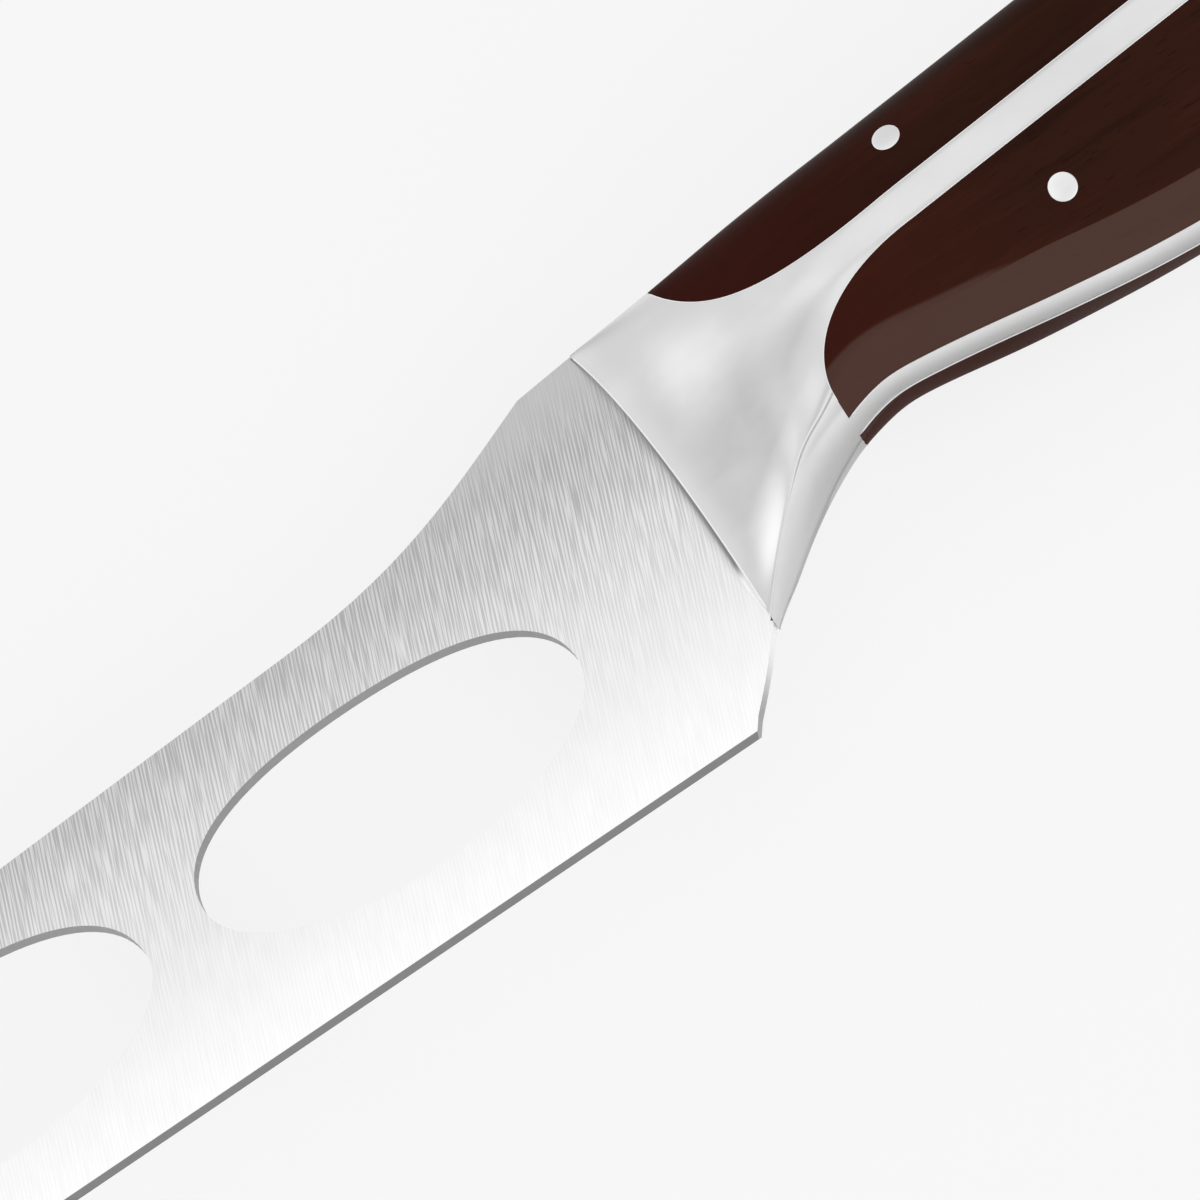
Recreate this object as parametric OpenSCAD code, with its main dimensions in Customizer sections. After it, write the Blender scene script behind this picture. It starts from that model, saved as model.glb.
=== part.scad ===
// Cheese knife: a pierced blade with a forked tip, a steel handle frame with a swept
// bolster, and four wooden scales held by straight pins.
// The knife lies on its side. +X runs to the butt, +Y to the spine, +Z up from the table.
// Every outline is drawn with the heel of the cutting edge at zero, and placed() then
// puts the middle of the whole knife over the origin, with its lower flank on the table.

/* [Blade] */
// Length of the blade from its heel to its tip
blade_len = 140; // [110:1:170]
// Height of the blade at its heel
heel_h = 37.7; // [34:0.1:42]
// Thickness of the blade
blade_t = 1.3; // [1:0.1:2]
// Height of the ground edge
bevel_h = 0.36; // [0.2:0.02:0.6]
// Length of the tongue that sits inside the bolster
tongue_len = 12; // [8:0.5:13]
// Height of that tongue
tongue_h = 10; // [7:0.5:12]
// Clearance of the tongue in its slot, on each face
tongue_fit = 0.05; // [0.02:0.01:0.1]

/* [Holes in the blade] */
// Height of each of the two large holes
hole_h = 17; // [12:0.5:18]
// Width of the steel left between the two large holes
hole_web = 5.8; // [4:0.1:8]
// Width of the steel between the heel and the first hole
heel_web = 8.4; // [7:0.1:12]
// Width of the steel between the last hole and the tip
tip_web = 14.3; // [12:0.1:20]
// Height of the holes' middles above the cutting edge
hole_rise = 15; // [13:0.1:16]

/* [Forked tip] */
// Width of the notch between the two prongs
notch_w = 3.6; // [2:0.1:4]
// Depth of the notch between the two prongs
notch_d = 8; // [5:0.5:10]

/* [Handle frame] */
// Length of the handle from the heel of the blade to the butt
grip_len = 125; // [110:1:140]
// Thickness of the grip from flank to flank
grip_t = 18; // [14:0.5:20]
// Height of the grip from its ridge to its back
crown_h = 11.8; // [10:0.1:13]
// Radius of the rounded back of the grip
crown_r = 7; // [6:0.1:7.5]
// Thickness of the frame's webs, which show as bands between the scales
web_t = 3.3; // [2.4:0.1:4]
// Angle of the ridge to the cutting edge
ridge_tilt = 4.82; // [2:0.1:7]
// Angle by which each flank falls away from its ridge
flank_fall = 14.6; // [8:0.1:18]
// How far the bolster stands proud of each face of the blade at its front
bolster_step = 0.2; // [0.1:0.05:0.4]
// Radius of the rounding around the butt
butt_r = 6; // [3:0.5:8]

/* [Pins] */
// Diameter of the pins
pin_d = 2.5; // [2:0.1:4]
// Clearance of the pins in their holes, on each side
pin_fit = 0.02; // [0.01:0.01:0.05]
// Distance of the first upper pin from the heel
upper_pin_x = 35.4; // [34:0.1:40]
// Distance of the upper pins above the ridge
upper_pin_rise = 6.3; // [5.5:0.1:7]
// Distance of the last upper pin from the butt
upper_pin_end = 23.6; // [20:0.1:28]
// Distance of the first lower pin from the heel
lower_pin_x = 44.8; // [42:0.1:50]
// Distance of the lower pins below the ridge
lower_pin_drop = 7.2; // [5:0.1:8]
// Distance of the last lower pin from the butt
lower_pin_end = 20.2; // [18:0.1:26]

/* [Hidden] */
$fn = 48;

steel = [0.80, 0.80, 0.80];
polished = [0.86, 0.86, 0.86];
wood = [0.20, 0.12, 0.10];
pin_steel = [0.88, 0.88, 0.87];

// How far a cutting shape runs past what it cuts
over = 1;
// Half thickness of the grip at its ridge, and of the bolster at its front
ridge_z = grip_t / 2;
front_z = blade_t / 2 + bolster_step;
web_z = web_t / 2;
// Half height of the flat along the ridge, a little less than the band that shows there
flat_share = 0.85;
flat_h = web_z * flat_share;
// Steps in which the round stretches are drawn
crown_steps = 6;
belly_steps = 6;
butt_steps = 5;
notch_steps = 8;
curve_steps = 14;
hole_steps = 96;

// Where the sections of the grip stand, as shares of the grip's length
station_shares = [0.028, 0.04, 0.052, 0.064, 0.076, 0.088, 0.1, 0.112, 0.126, 0.142, 0.158,
                  0.176, 0.196, 0.22, 0.248, 0.284, 0.32, 0.36, 0.4, 0.45, 0.51, 0.57,
                  0.63, 0.69, 0.75, 0.81, 0.86, 0.905];
// Height of the back above the ridge: [share of the grip's length, share of the crown's height]
back_shares = [[0, 1.034], [0.04, 1.054], [0.1, 1.049], [0.16, 1.036], [0.21, 1.015], [0.26, 1],
               [0.5, 1], [0.72, 1.01], [0.86, 0.985], [0.94, 0.93], [1, 0.86]];
// Height of the belly: [share of the grip's length, share of the ridge's height there]
belly_shares = [[0, 0.014], [0.028, 0.166], [0.052, 0.312], [0.076, 0.43], [0.098, 0.528],
                [0.116, 0.6], [0.14, 0.67], [0.16, 0.707], [0.18, 0.726], [0.2, 0.73],
                [0.23, 0.706], [0.26, 0.676], [0.32, 0.612], [0.384, 0.555], [0.45, 0.52],
                [0.53, 0.516], [0.62, 0.556], [0.72, 0.592], [0.8, 0.598], [0.88, 0.572],
                [0.94, 0.55], [1, 0.545]];
// Half thickness at the ridge: [share of the grip's length, share of the full growth]
swell_shares = [[0.028, 0], [0.05, 0.015], [0.064, 0.09], [0.08, 0.2], [0.1, 0.36],
                [0.13, 0.58], [0.16, 0.76], [0.195, 0.9], [0.23, 0.975], [0.27, 1],
                [0.6, 1], [1, 1]];
// Half width of the flat belly: [share of the grip's length, share of the ridge's half thickness]
belly_width_shares = [[0.028, 0.094], [0.04, 0.105], [0.052, 0.165], [0.062, 0.24],
                      [0.075, 0.325], [0.086, 0.387], [0.098, 0.424], [0.107, 0.457],
                      [0.116, 0.475], [0.126, 0.45], [0.14, 0.423], [0.158, 0.4], [0.2, 0.37],
                      [0.26, 0.35], [1, 0.35]];
// Half width of the belly's shoulder: [share of the grip's length, share of what the
// fall of the flank alone would leave there]
shoulder_shares = [[0.028, 0.226], [0.04, 0.226], [0.052, 0.322], [0.062, 0.435],
                   [0.075, 0.543], [0.086, 0.61], [0.098, 0.639], [0.107, 0.667],
                   [0.116, 0.692], [0.14, 0.789], [0.17, 0.887], [0.2, 0.947], [0.26, 1],
                   [1, 1]];
// How hollow the bolster's flank is: [share of the grip's length, share of the ridge's]
hollow_shares = [[0.028, 0], [0.05, 0.012], [0.076, 0.055], [0.116, 0.06], [0.16, 0.03],
                 [0.23, 0], [1, 0]];
// How far the shoulder and the end of its rounding lie above the belly, in the same shares
shoulder_rise_shares = [[0.028, 0], [0.1, 0.01], [0.14, 0.06], [0.2, 0.09], [0.26, 0.05],
                        [0.32, 0.02], [1, 0.02]];
shoulder_end_shares = [[0.028, 0.1], [0.1, 0.14], [0.14, 0.28], [0.2, 0.38], [0.26, 0.34],
                       [0.32, 0.3], [1, 0.3]];
// Where the flank's own points lie, from its shoulder up to the ridge
flank_shares = [0.75, 0.5, 0.25];
// Where the flat belly's point lies, from its middle out
belly_point_share = 0.3;

// Value at u of a smooth curve through the rows of a table
function row_at(rows, u, i = 0) =
    (i >= len(rows) - 2 || u < rows[i + 1][0]) ? i : row_at(rows, u, i + 1);
function slope_at(rows, i) =
    let (a = max(i - 1, 0), b = min(i + 1, len(rows) - 1))
    (rows[b][1] - rows[a][1]) / (rows[b][0] - rows[a][0]);
function smooth(rows, u) =
    let (i = row_at(rows, u),
         d = rows[i + 1][0] - rows[i][0],
         t = min(max((u - rows[i][0]) / d, 0), 1))
    rows[i][1] * (2 * t ^ 3 - 3 * t ^ 2 + 1) + rows[i + 1][1] * (3 * t ^ 2 - 2 * t ^ 3)
    + slope_at(rows, i) * d * (t ^ 3 - 2 * t ^ 2 + t)
    + slope_at(rows, i + 1) * d * (t ^ 3 - t ^ 2);

// Point at t of the curve that four guide points give
function bezier_point(p, t) =
    p[0] * (1 - t) ^ 3 + 3 * p[1] * t * (1 - t) ^ 2 + 3 * p[2] * t ^ 2 * (1 - t) + p[3] * t ^ 3;
function bezier(p, steps) = [for (i = [0 : steps]) bezier_point(p, i / steps)];

// Lines of the grip, each as a height above the cutting edge at x
ridge_rise = heel_h - crown_h * back_shares[0][1];
function ridge_y(x) = ridge_rise + x * tan(ridge_tilt);
function back_y(x) = ridge_y(x) + crown_h * smooth(back_shares, x / grip_len);
function belly_y(x) = ridge_y(x) * smooth(belly_shares, x / grip_len);
function swell_z(x) = front_z + (ridge_z - front_z) * min(smooth(swell_shares, x / grip_len), 1);
function across(rows, x) = ridge_z * smooth(rows, x / grip_len);
function fall_z(x) = ridge_z - (ridge_y(x) - flat_h - belly_y(x)) * tan(flank_fall);

// Full-size half section of the back, from its top down to the end of its rounding
crown_z = ridge_z - (crown_h - crown_r - flat_h) * tan(flank_fall) - crown_r / cos(flank_fall);
function crown_point(a) = [crown_z + crown_r * cos(a), crown_h - crown_r + crown_r * sin(a)];
full_crown = [for (i = [0 : crown_steps]) crown_point(90 - i * (90 - flank_fall) / crown_steps)];

// Half section of the grip at x, from the middle of its back to the middle of its belly
function half_section(x) =
    let (y0 = ridge_y(x),
         z0 = swell_z(x),
         thin = (z0 - front_z) / (ridge_z - front_z),
         high = (back_y(x) - y0) / crown_h,
         yb = belly_y(x),
         wide = across(belly_width_shares, x),
         hollow = 4 * across(hollow_shares, x),
         out = fall_z(x) * smooth(shoulder_shares, x / grip_len),
         knee = [out, yb + across(shoulder_rise_shares, x)],
         foot = y0 - flat_h,
         end_y = yb + across(shoulder_end_shares, x),
         end_t = (end_y - yb) / (foot - yb),
         end_z = out + (z0 - out) * end_t)
    concat(
        [for (p = full_crown)
            [front_z + (p[0] - front_z) * thin, y0 + p[1] * high]],
        [[z0, y0 + flat_h], [z0, foot]],
        [for (t = flank_shares)
            let (s = end_t + (1 - end_t) * t)
            [out + (z0 - out) * s - hollow * s * (1 - s), yb + (foot - yb) * s]],
        [for (i = [0 : belly_steps])
            let (t = 1 - i / belly_steps)
            [wide, yb] * (1 - t) ^ 2 + knee * 2 * t * (1 - t)
            + [end_z - hollow * end_t * (1 - end_t), end_y] * t ^ 2],
        [[wide * belly_point_share, yb]]);

// Ring of points around the grip at x, drawn in by inset
function ring(x, inset) =
    let (half = half_section(x),
         y0 = ridge_y(x),
         top = back_y(x) - y0,
         low = y0 - belly_y(x),
         right = [for (p = half)
            [x,
             y0 + (p[1] - y0) * (1 - inset / (p[1] > y0 ? top : low)),
             p[0] * (1 - inset / ridge_z)]],
         n = len(right))
    concat(right, [for (i = [1 : n]) [x, right[n - i][1], -right[n - i][2]]]);

// The whole outer form of the grip, from just ahead of the bolster's front to the butt
butt_start = grip_len - butt_r;
rings = concat(
    [for (s = station_shares) ring(s * grip_len, 0)],
    [for (i = [0 : butt_steps])
        let (a = i * 90 / butt_steps)
        ring(butt_start + butt_r * sin(a), butt_r * (1 - cos(a)))]);
ring_size = len(rings[0]);

function ring_middle(r) = [r[0][0], ridge_y(r[0][0]), 0];

module grip_form() {
    last = (len(rings) - 1) * ring_size;
    front_mid = len(rings) * ring_size;
    walls = [for (r = [0 : len(rings) - 2], k = [0 : ring_size - 1])
        let (a = r * ring_size + k,
             b = r * ring_size + (k + 1) % ring_size)
        each [[a, b + ring_size, b], [a, a + ring_size, b + ring_size]]];
    ends = [for (k = [0 : ring_size - 1])
        let (next = (k + 1) % ring_size)
        each [[k, next, front_mid], [last + next, last + k, front_mid + 1]]];
    middles = [ring_middle(rings[0]), ring_middle(rings[len(rings) - 1])];
    polyhedron(points = concat([for (r = rings) each r], middles), faces = concat(walls, ends),
               convexity = 6);
}

// The line where the blade meets the bolster, from the belly up to the back
join_shares = [[0.05, 0.2], [0.0525, 0.45], [0.052, 0.85], [0.0365, 1.02]];
join_curve = bezier([for (s = join_shares) [s[0] * grip_len, s[1] * heel_h]], curve_steps);
join_low = [join_curve[0][0], belly_y(join_curve[0][0])];
join_line = concat([join_low], [for (p = join_curve) if (p[1] < back_y(p[0])) p]);
join_top_x = join_line[len(join_line) - 1][0];

// The spine of the blade, from the bolster forward to the fork
spine_rise_shares = [[-0.006, 1], [-0.068, 0.9], [-0.112, 0.816], [-0.2, 0.8]];
spine_run_shares = [[-0.2, 0.8], [-0.4, 0.763], [-0.72, 0.692], [-0.86, 0.662]];
fork_back_shares = [[-0.86, 0.662], [-0.895, 0.655], [-0.915, 0.71], [-0.927, 0.86]];
belly_tip_shares = [[-1, 0.8], [-0.966, 0.28], [-0.865, 0], [-0.68, 0]];
function on_blade(shares) = [for (s = shares) [s[0] * blade_len, s[1] * heel_h]];
edge_curve = bezier(on_blade(belly_tip_shares), curve_steps);
tip = edge_curve[0];
back_prong = on_blade(fork_back_shares)[3];

// The notch between the prongs, square to the line that joins their points
notch_place_share = 0.54;
notch_mid = tip + (back_prong - tip) * notch_place_share;
prong_span = norm(back_prong - tip);
notch_dir = (back_prong - tip) / prong_span;
notch_in = [notch_dir[1], -notch_dir[0]];
notch_floor = notch_mid + notch_in * (notch_d - notch_w / 2);
notch_arc = [for (i = [0 : notch_steps])
    notch_floor - notch_dir * (notch_w / 2) * cos(i * 180 / notch_steps)
    + notch_in * (notch_w / 2) * sin(i * 180 / notch_steps)];

// The blade's own short rise behind the heel, up to the bolster
heel_shares = [0.008, 0.016, 0.024, 0.032, 0.04];
heel_line = [for (s = heel_shares) [s * grip_len, belly_y(s * grip_len)]];
outline = concat(
    [[0, 0]],
    heel_line,
    join_line,
    [[join_top_x, back_y(join_top_x)]],
    bezier(on_blade(spine_rise_shares), curve_steps),
    bezier(on_blade(spine_run_shares), curve_steps),
    bezier(on_blade(fork_back_shares), curve_steps),
    [for (i = [notch_steps : -1 : 0]) notch_arc[i]],
    edge_curve);

// The tongue behind the blade, and the slot that it fills
tongue_rise_share = 0.68;
tongue_y = heel_h * tongue_rise_share;
module tongue(fit) {
    translate([join_top_x, tongue_y - tongue_h / 2 - fit, -blade_t / 2 - fit])
        cube([tongue_len + fit, tongue_h + 2 * fit, blade_t + 2 * fit]);
}

// Length and places of the holes, which fill the blade between its heel and its tip
tip_hole_share = 0.87;
hole_len = (blade_len - heel_web - 2 * hole_web - tip_web) / (2 + (1 + tip_hole_share) / 2);
hole_pitch = hole_len + hole_web;
hole_back = heel_web + hole_len / 2;

// One hole, a little fuller along its upper side
hole_fullness_share = 0.05;
function hole_points(length, height) =
    [for (i = [0 : hole_steps - 1])
        let (a = i * 360 / hole_steps,
             full = sin(a) > 0 ? 1 + hole_fullness_share * sin(2 * a) ^ 2 : 1)
        [length / 2 * cos(a) * full, height / 2 * sin(a) * full]];
hole_slope_share = 0.0064;
module hole(i) {
    size = i < 2 ? 1 : tip_hole_share;
    translate([-hole_back - i * hole_pitch, hole_rise - i * hole_pitch * hole_slope_share, -blade_t])
        linear_extrude(2 * blade_t)
            polygon(hole_points(hole_len * size, hole_h * size));
}

// A wedge that grinds one face of the edge along the line from a to b
module grind(a, b) {
    run = b - a;
    translate(a)
        rotate([0, 0, atan2(run[1], run[0])])
            rotate([90, 0, 90])
                linear_extrude(norm(run))
                    polygon([[0, 0], [bevel_h, blade_t / 2], [bevel_h, blade_t], [-blade_t, blade_t],
                             [-blade_t, 0]]);
}

module placed() {
    translate([(blade_len - grip_len) / 2, -(back_top_y) / 2, ridge_z]) children();
}
back_top_y = max([for (r = rings) each [for (p = r) p[1]]]);

module blade() {
    color(steel) placed() difference() {
        union() {
            translate([0, 0, -blade_t / 2])
                linear_extrude(blade_t)
                    polygon(outline);
            tongue(0);
        }
        for (i = [0 : 2]) hole(i);
        for (side = [0, 1]) mirror([0, 0, side]) {
            grind(edge_curve[curve_steps], [over, 0]);
            for (i = [0 : curve_steps - 1]) grind(edge_curve[i], edge_curve[i + 1]);
        }
    }
}

// Side outlines of the wooden scales, drawn well past the back and the belly
// Each row: [share of the grip's length, share of the crown's height off the band's border]
upper_front_shares = [[0.1, 0.94], [0.1055, 0.575], [0.1425, -0.045], [0.26, 0]];
upper_end_shares = [[0.84, 0], [0.9, 0.02], [0.93, 0.3], [0.935, 1]];
lower_front_shares = [[0.163, -0.65], [0.158, -0.235], [0.195, 0.03], [0.27, 0]];
lower_end_shares = [[0.84, 0], [0.905, -0.03], [0.94, -0.4], [0.93, -1.4]];
function off_band(shares, border) = [for (s = shares)
    let (x = s[0] * grip_len)
    [x, ridge_y(x) + border + s[1] * crown_h]];

module scale_outline(front_shares, end_shares, border, far_y) {
    front = bezier(off_band(front_shares, border), curve_steps);
    end = bezier(off_band(end_shares, border), curve_steps);
    polygon(concat([[front[0][0], far_y]], front, end, [[end[curve_steps][0], far_y]]));
}
module upper_outline() {
    scale_outline(upper_front_shares, upper_end_shares, web_z, back_top_y + over);
}
module lower_outline() {
    scale_outline(lower_front_shares, lower_end_shares, -web_z, 0);
}

module pocket(side, upper) {
    mirror([0, 0, side])
        translate([0, 0, web_z])
            linear_extrude(ridge_z)
                if (upper) upper_outline(); else lower_outline();
}

// Each row of three pins, spaced evenly between its first and its last
upper_pin_pitch = (grip_len - upper_pin_x - upper_pin_end) / 2;
lower_pin_pitch = (grip_len - lower_pin_x - lower_pin_end) / 2;
function pin_place(upper, i) =
    let (x = upper ? upper_pin_x + i * upper_pin_pitch : lower_pin_x + i * lower_pin_pitch)
    [x, ridge_y(x) + (upper ? upper_pin_rise : -lower_pin_drop)];

module pin_body(upper, i, fit) {
    p = pin_place(upper, i);
    translate([p[0], p[1], -grip_t])
        cylinder(h = 2 * grip_t, d = pin_d + 2 * fit);
}

module pin_holes(upper) {
    for (i = [0 : 2]) pin_body(upper, i, pin_fit);
}

module handle_frame() {
    color(polished) placed() difference() {
        grip_form();
        translate([0, 0, -grip_t])
            linear_extrude(2 * grip_t)
                polygon(concat(
                    [[0, 0], [join_low[0], 0]],
                    join_line,
                    [[join_top_x, back_top_y + over], [0, back_top_y + over]]));
        tongue(tongue_fit);
        for (side = [0, 1], upper = [true, false]) pocket(side, upper);
        pin_holes(true);
        pin_holes(false);
    }
}

module scale_piece(side, upper) {
    color(wood) placed() difference() {
        intersection() {
            grip_form();
            pocket(side, upper);
        }
        pin_holes(upper);
    }
}

// What lies under the flank at a pin, as a block whose top face is the flank itself
flank_slope = atan(tan(flank_fall) / cos(ridge_tilt));
module under_flank(upper, i) {
    p = pin_place(upper, i);
    away = upper ? upper_pin_rise : lower_pin_drop;
    translate([p[0], p[1], ridge_z - (away - flat_h) * tan(flank_fall)])
        rotate([0, 0, ridge_tilt])
            rotate([upper ? -flank_slope : flank_slope, 0, 0])
                translate([-grip_t, -grip_t, -2 * grip_t])
                    cube(2 * grip_t);
}

module pin(upper, i) {
    color(pin_steel) placed() intersection() {
        pin_body(upper, i, 0);
        under_flank(upper, i);
        mirror([0, 0, 1]) under_flank(upper, i);
    }
}

blade();
handle_frame();
scale_piece(0, true);  // upper_scale_front
scale_piece(0, false);  // lower_scale_front
scale_piece(1, true);  // upper_scale_back
scale_piece(1, false);  // lower_scale_back
pin(true, 0);  // upper_pin_1
pin(true, 1);  // upper_pin_2
pin(true, 2);  // upper_pin_3
pin(false, 0);  // lower_pin_1
pin(false, 1);  // lower_pin_2
pin(false, 2);  // lower_pin_3
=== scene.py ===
"""Looks of the cheese knife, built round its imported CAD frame.

The knife lies on its side. +X runs to the butt, +Y to the spine and +Z up from the table.
Sizes are written in millimetres, measured from the heel of the cutting edge and from the
middle plane of the blade, as in the part's source, and Placing turns them into metres.
"""

import logging
import math
from collections.abc import Sequence
from dataclasses import dataclass, field
from enum import Enum

import bpy
import numpy as np
from mathutils import Matrix, Vector
from mathutils.bvhtree import BVHTree


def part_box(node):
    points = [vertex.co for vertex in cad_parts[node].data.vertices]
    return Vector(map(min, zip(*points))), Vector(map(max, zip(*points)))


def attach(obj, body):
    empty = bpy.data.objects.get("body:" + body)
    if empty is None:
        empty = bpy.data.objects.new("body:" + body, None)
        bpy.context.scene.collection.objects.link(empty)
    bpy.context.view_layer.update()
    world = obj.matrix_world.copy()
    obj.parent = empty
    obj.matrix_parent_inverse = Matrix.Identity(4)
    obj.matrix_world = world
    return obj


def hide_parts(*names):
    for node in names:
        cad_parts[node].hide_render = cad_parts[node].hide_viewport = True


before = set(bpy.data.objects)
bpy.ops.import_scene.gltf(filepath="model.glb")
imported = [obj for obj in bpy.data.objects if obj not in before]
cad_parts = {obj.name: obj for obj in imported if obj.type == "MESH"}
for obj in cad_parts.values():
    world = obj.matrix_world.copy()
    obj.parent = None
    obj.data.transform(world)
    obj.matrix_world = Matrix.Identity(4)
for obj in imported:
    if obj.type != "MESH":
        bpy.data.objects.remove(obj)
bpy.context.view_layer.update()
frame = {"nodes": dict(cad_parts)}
LOG = logging.getLogger("cheese_knife")
MM = 0.001
ROOT = "root"

Range = tuple[float, float]
Rows = tuple[Range, ...]
Colour = tuple[float, float, float]
Socket = bpy.types.NodeSocket


class Slot(Enum):
    """Material slots of the record."""

    BLADE = "blade_steel"
    FRAME = "frame_steel"
    WOOD = "scale_wood"
    PIN = "pin_steel"


class Flank(Enum):
    """The two flanks of the knife, as the sign of their height."""

    NEAR = 1
    FAR = -1


def grey(level: float) -> Colour:
    """Gives the linear colour of a grey that is written as 0 to 255.

    Args:
        level: The grey, from 0 to 255.

    Returns:
        Its linear red, green and blue.
    """
    share = level / 255
    value = share / 12.92 if share <= 0.04045 else ((share + 0.055) / 1.055) ** 2.4
    return (value, value, value)


def shade_of(red: float, green: float, blue: float) -> Colour:
    """Gives the linear colour of a colour that is written as 0 to 255."""
    return (grey(red)[0], grey(green)[0], grey(blue)[0])


def smooth(rows: Rows, place: float) -> float:
    """Reads a table along the smooth curve through its rows.

    Args:
        rows: Rows of place and value, in order of place.
        place: Where to read it.

    Returns:
        The value at that place.
    """
    places = [row[0] for row in rows]
    i = min(max(int(np.searchsorted(places, place, "right")) - 1, 0), len(rows) - 2)

    def slope(k: int) -> float:
        """Gives the curve's slope at row k."""
        low, high = rows[max(k - 1, 0)], rows[min(k + 1, len(rows) - 1)]
        return (high[1] - low[1]) / (high[0] - low[0])

    run = rows[i + 1][0] - rows[i][0]
    t = min(max((place - rows[i][0]) / run, 0.0), 1.0)
    return (
        rows[i][1] * (2 * t**3 - 3 * t**2 + 1)
        + rows[i + 1][1] * (3 * t**2 - 2 * t**3)
        + slope(i) * run * (t**3 - 2 * t**2 + t)
        + slope(i + 1) * run * (t**3 - t**2)
    )


def bezier(guides: Sequence[Sequence[float]], steps: int) -> np.ndarray:
    """Gives points along the curve of some guide points.

    Args:
        guides: Three or four guide points.
        steps: How many steps the curve is drawn in.

    Returns:
        The steps + 1 points, one a row.
    """
    points = np.array(guides, float)
    order = len(points) - 1
    t = np.linspace(0, 1, steps + 1)[:, None]
    return sum(
        math.comb(order, k) * points[k] * t**k * (1 - t) ** (order - k)
        for k in range(order + 1)
    )


def ring_faces(rings: int, size: int) -> list[list[int]]:
    """Gives the faces between closed rings of points, from one ring to the next.

    Args:
        rings: How many rings there are.
        size: How many points each ring has.

    Returns:
        Lists of point numbers.
    """
    return [
        [r * size + k, r * size + next_k, (r + 1) * size + next_k, (r + 1) * size + k]
        for r in range(rings - 1)
        for k, next_k in zip(range(size), [*range(1, size), 0])
    ]


def in_metres(start: float, reach: Range) -> Range:
    """Turns a range in millimetres from a start into metres, where the start is in metres."""
    return (start + reach[0] * MM, start + reach[1] * MM)


def linked(name: str, data: bpy.types.ID) -> bpy.types.Object:
    """Makes an object of some data and links it to the scene.

    Args:
        name: Name of the object.
        data: Its mesh, camera or lamp.

    Returns:
        The object.
    """
    obj = bpy.data.objects.new(name, data)
    bpy.context.scene.collection.objects.link(obj)
    return obj


@dataclass(frozen=True)
class BladeSizes:
    """Sizes of the blade in millimetres."""

    length: float = 140.0
    heel_h: float = 37.7
    thickness: float = 1.3


@dataclass(frozen=True)
class GripSizes:
    """Sizes of the bolster and the grip in millimetres, and angles in degrees."""

    length: float = 125.0
    thickness: float = 18.0
    crown_h: float = 11.8
    crown_r: float = 7.0
    web: float = 3.3
    ridge_tilt: float = 4.82
    flank_fall: float = 14.6
    bolster_step: float = 0.2
    butt_r: float = 6.0
    ridge_round: float = 0.45
    pin_d: float = 2.5


@dataclass(frozen=True)
class Placing:
    """Where the knife stands in the row frame, read from the CAD blade."""

    blade: BladeSizes = field(default_factory=BladeSizes)

    def shift(self) -> np.ndarray:
        """Gives the place of the heel on the middle plane, in millimetres.

        Returns:
            Its x, y and z.
        """
        low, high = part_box("blade")
        return np.array(
            [
                low.x / MM + self.blade.length,
                low.y / MM,
                (low.z + high.z) / 2 / MM,
            ]
        )

    def heel(self) -> tuple[float, ...]:
        """Gives the place of the heel on the middle plane, in metres."""
        return tuple(place * MM for place in self.shift())

    def points(self, places: np.ndarray) -> np.ndarray:
        """Turns places in millimetres from the heel into metres in the row frame."""
        return (np.asarray(places, float) + self.shift()) * MM


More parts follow.
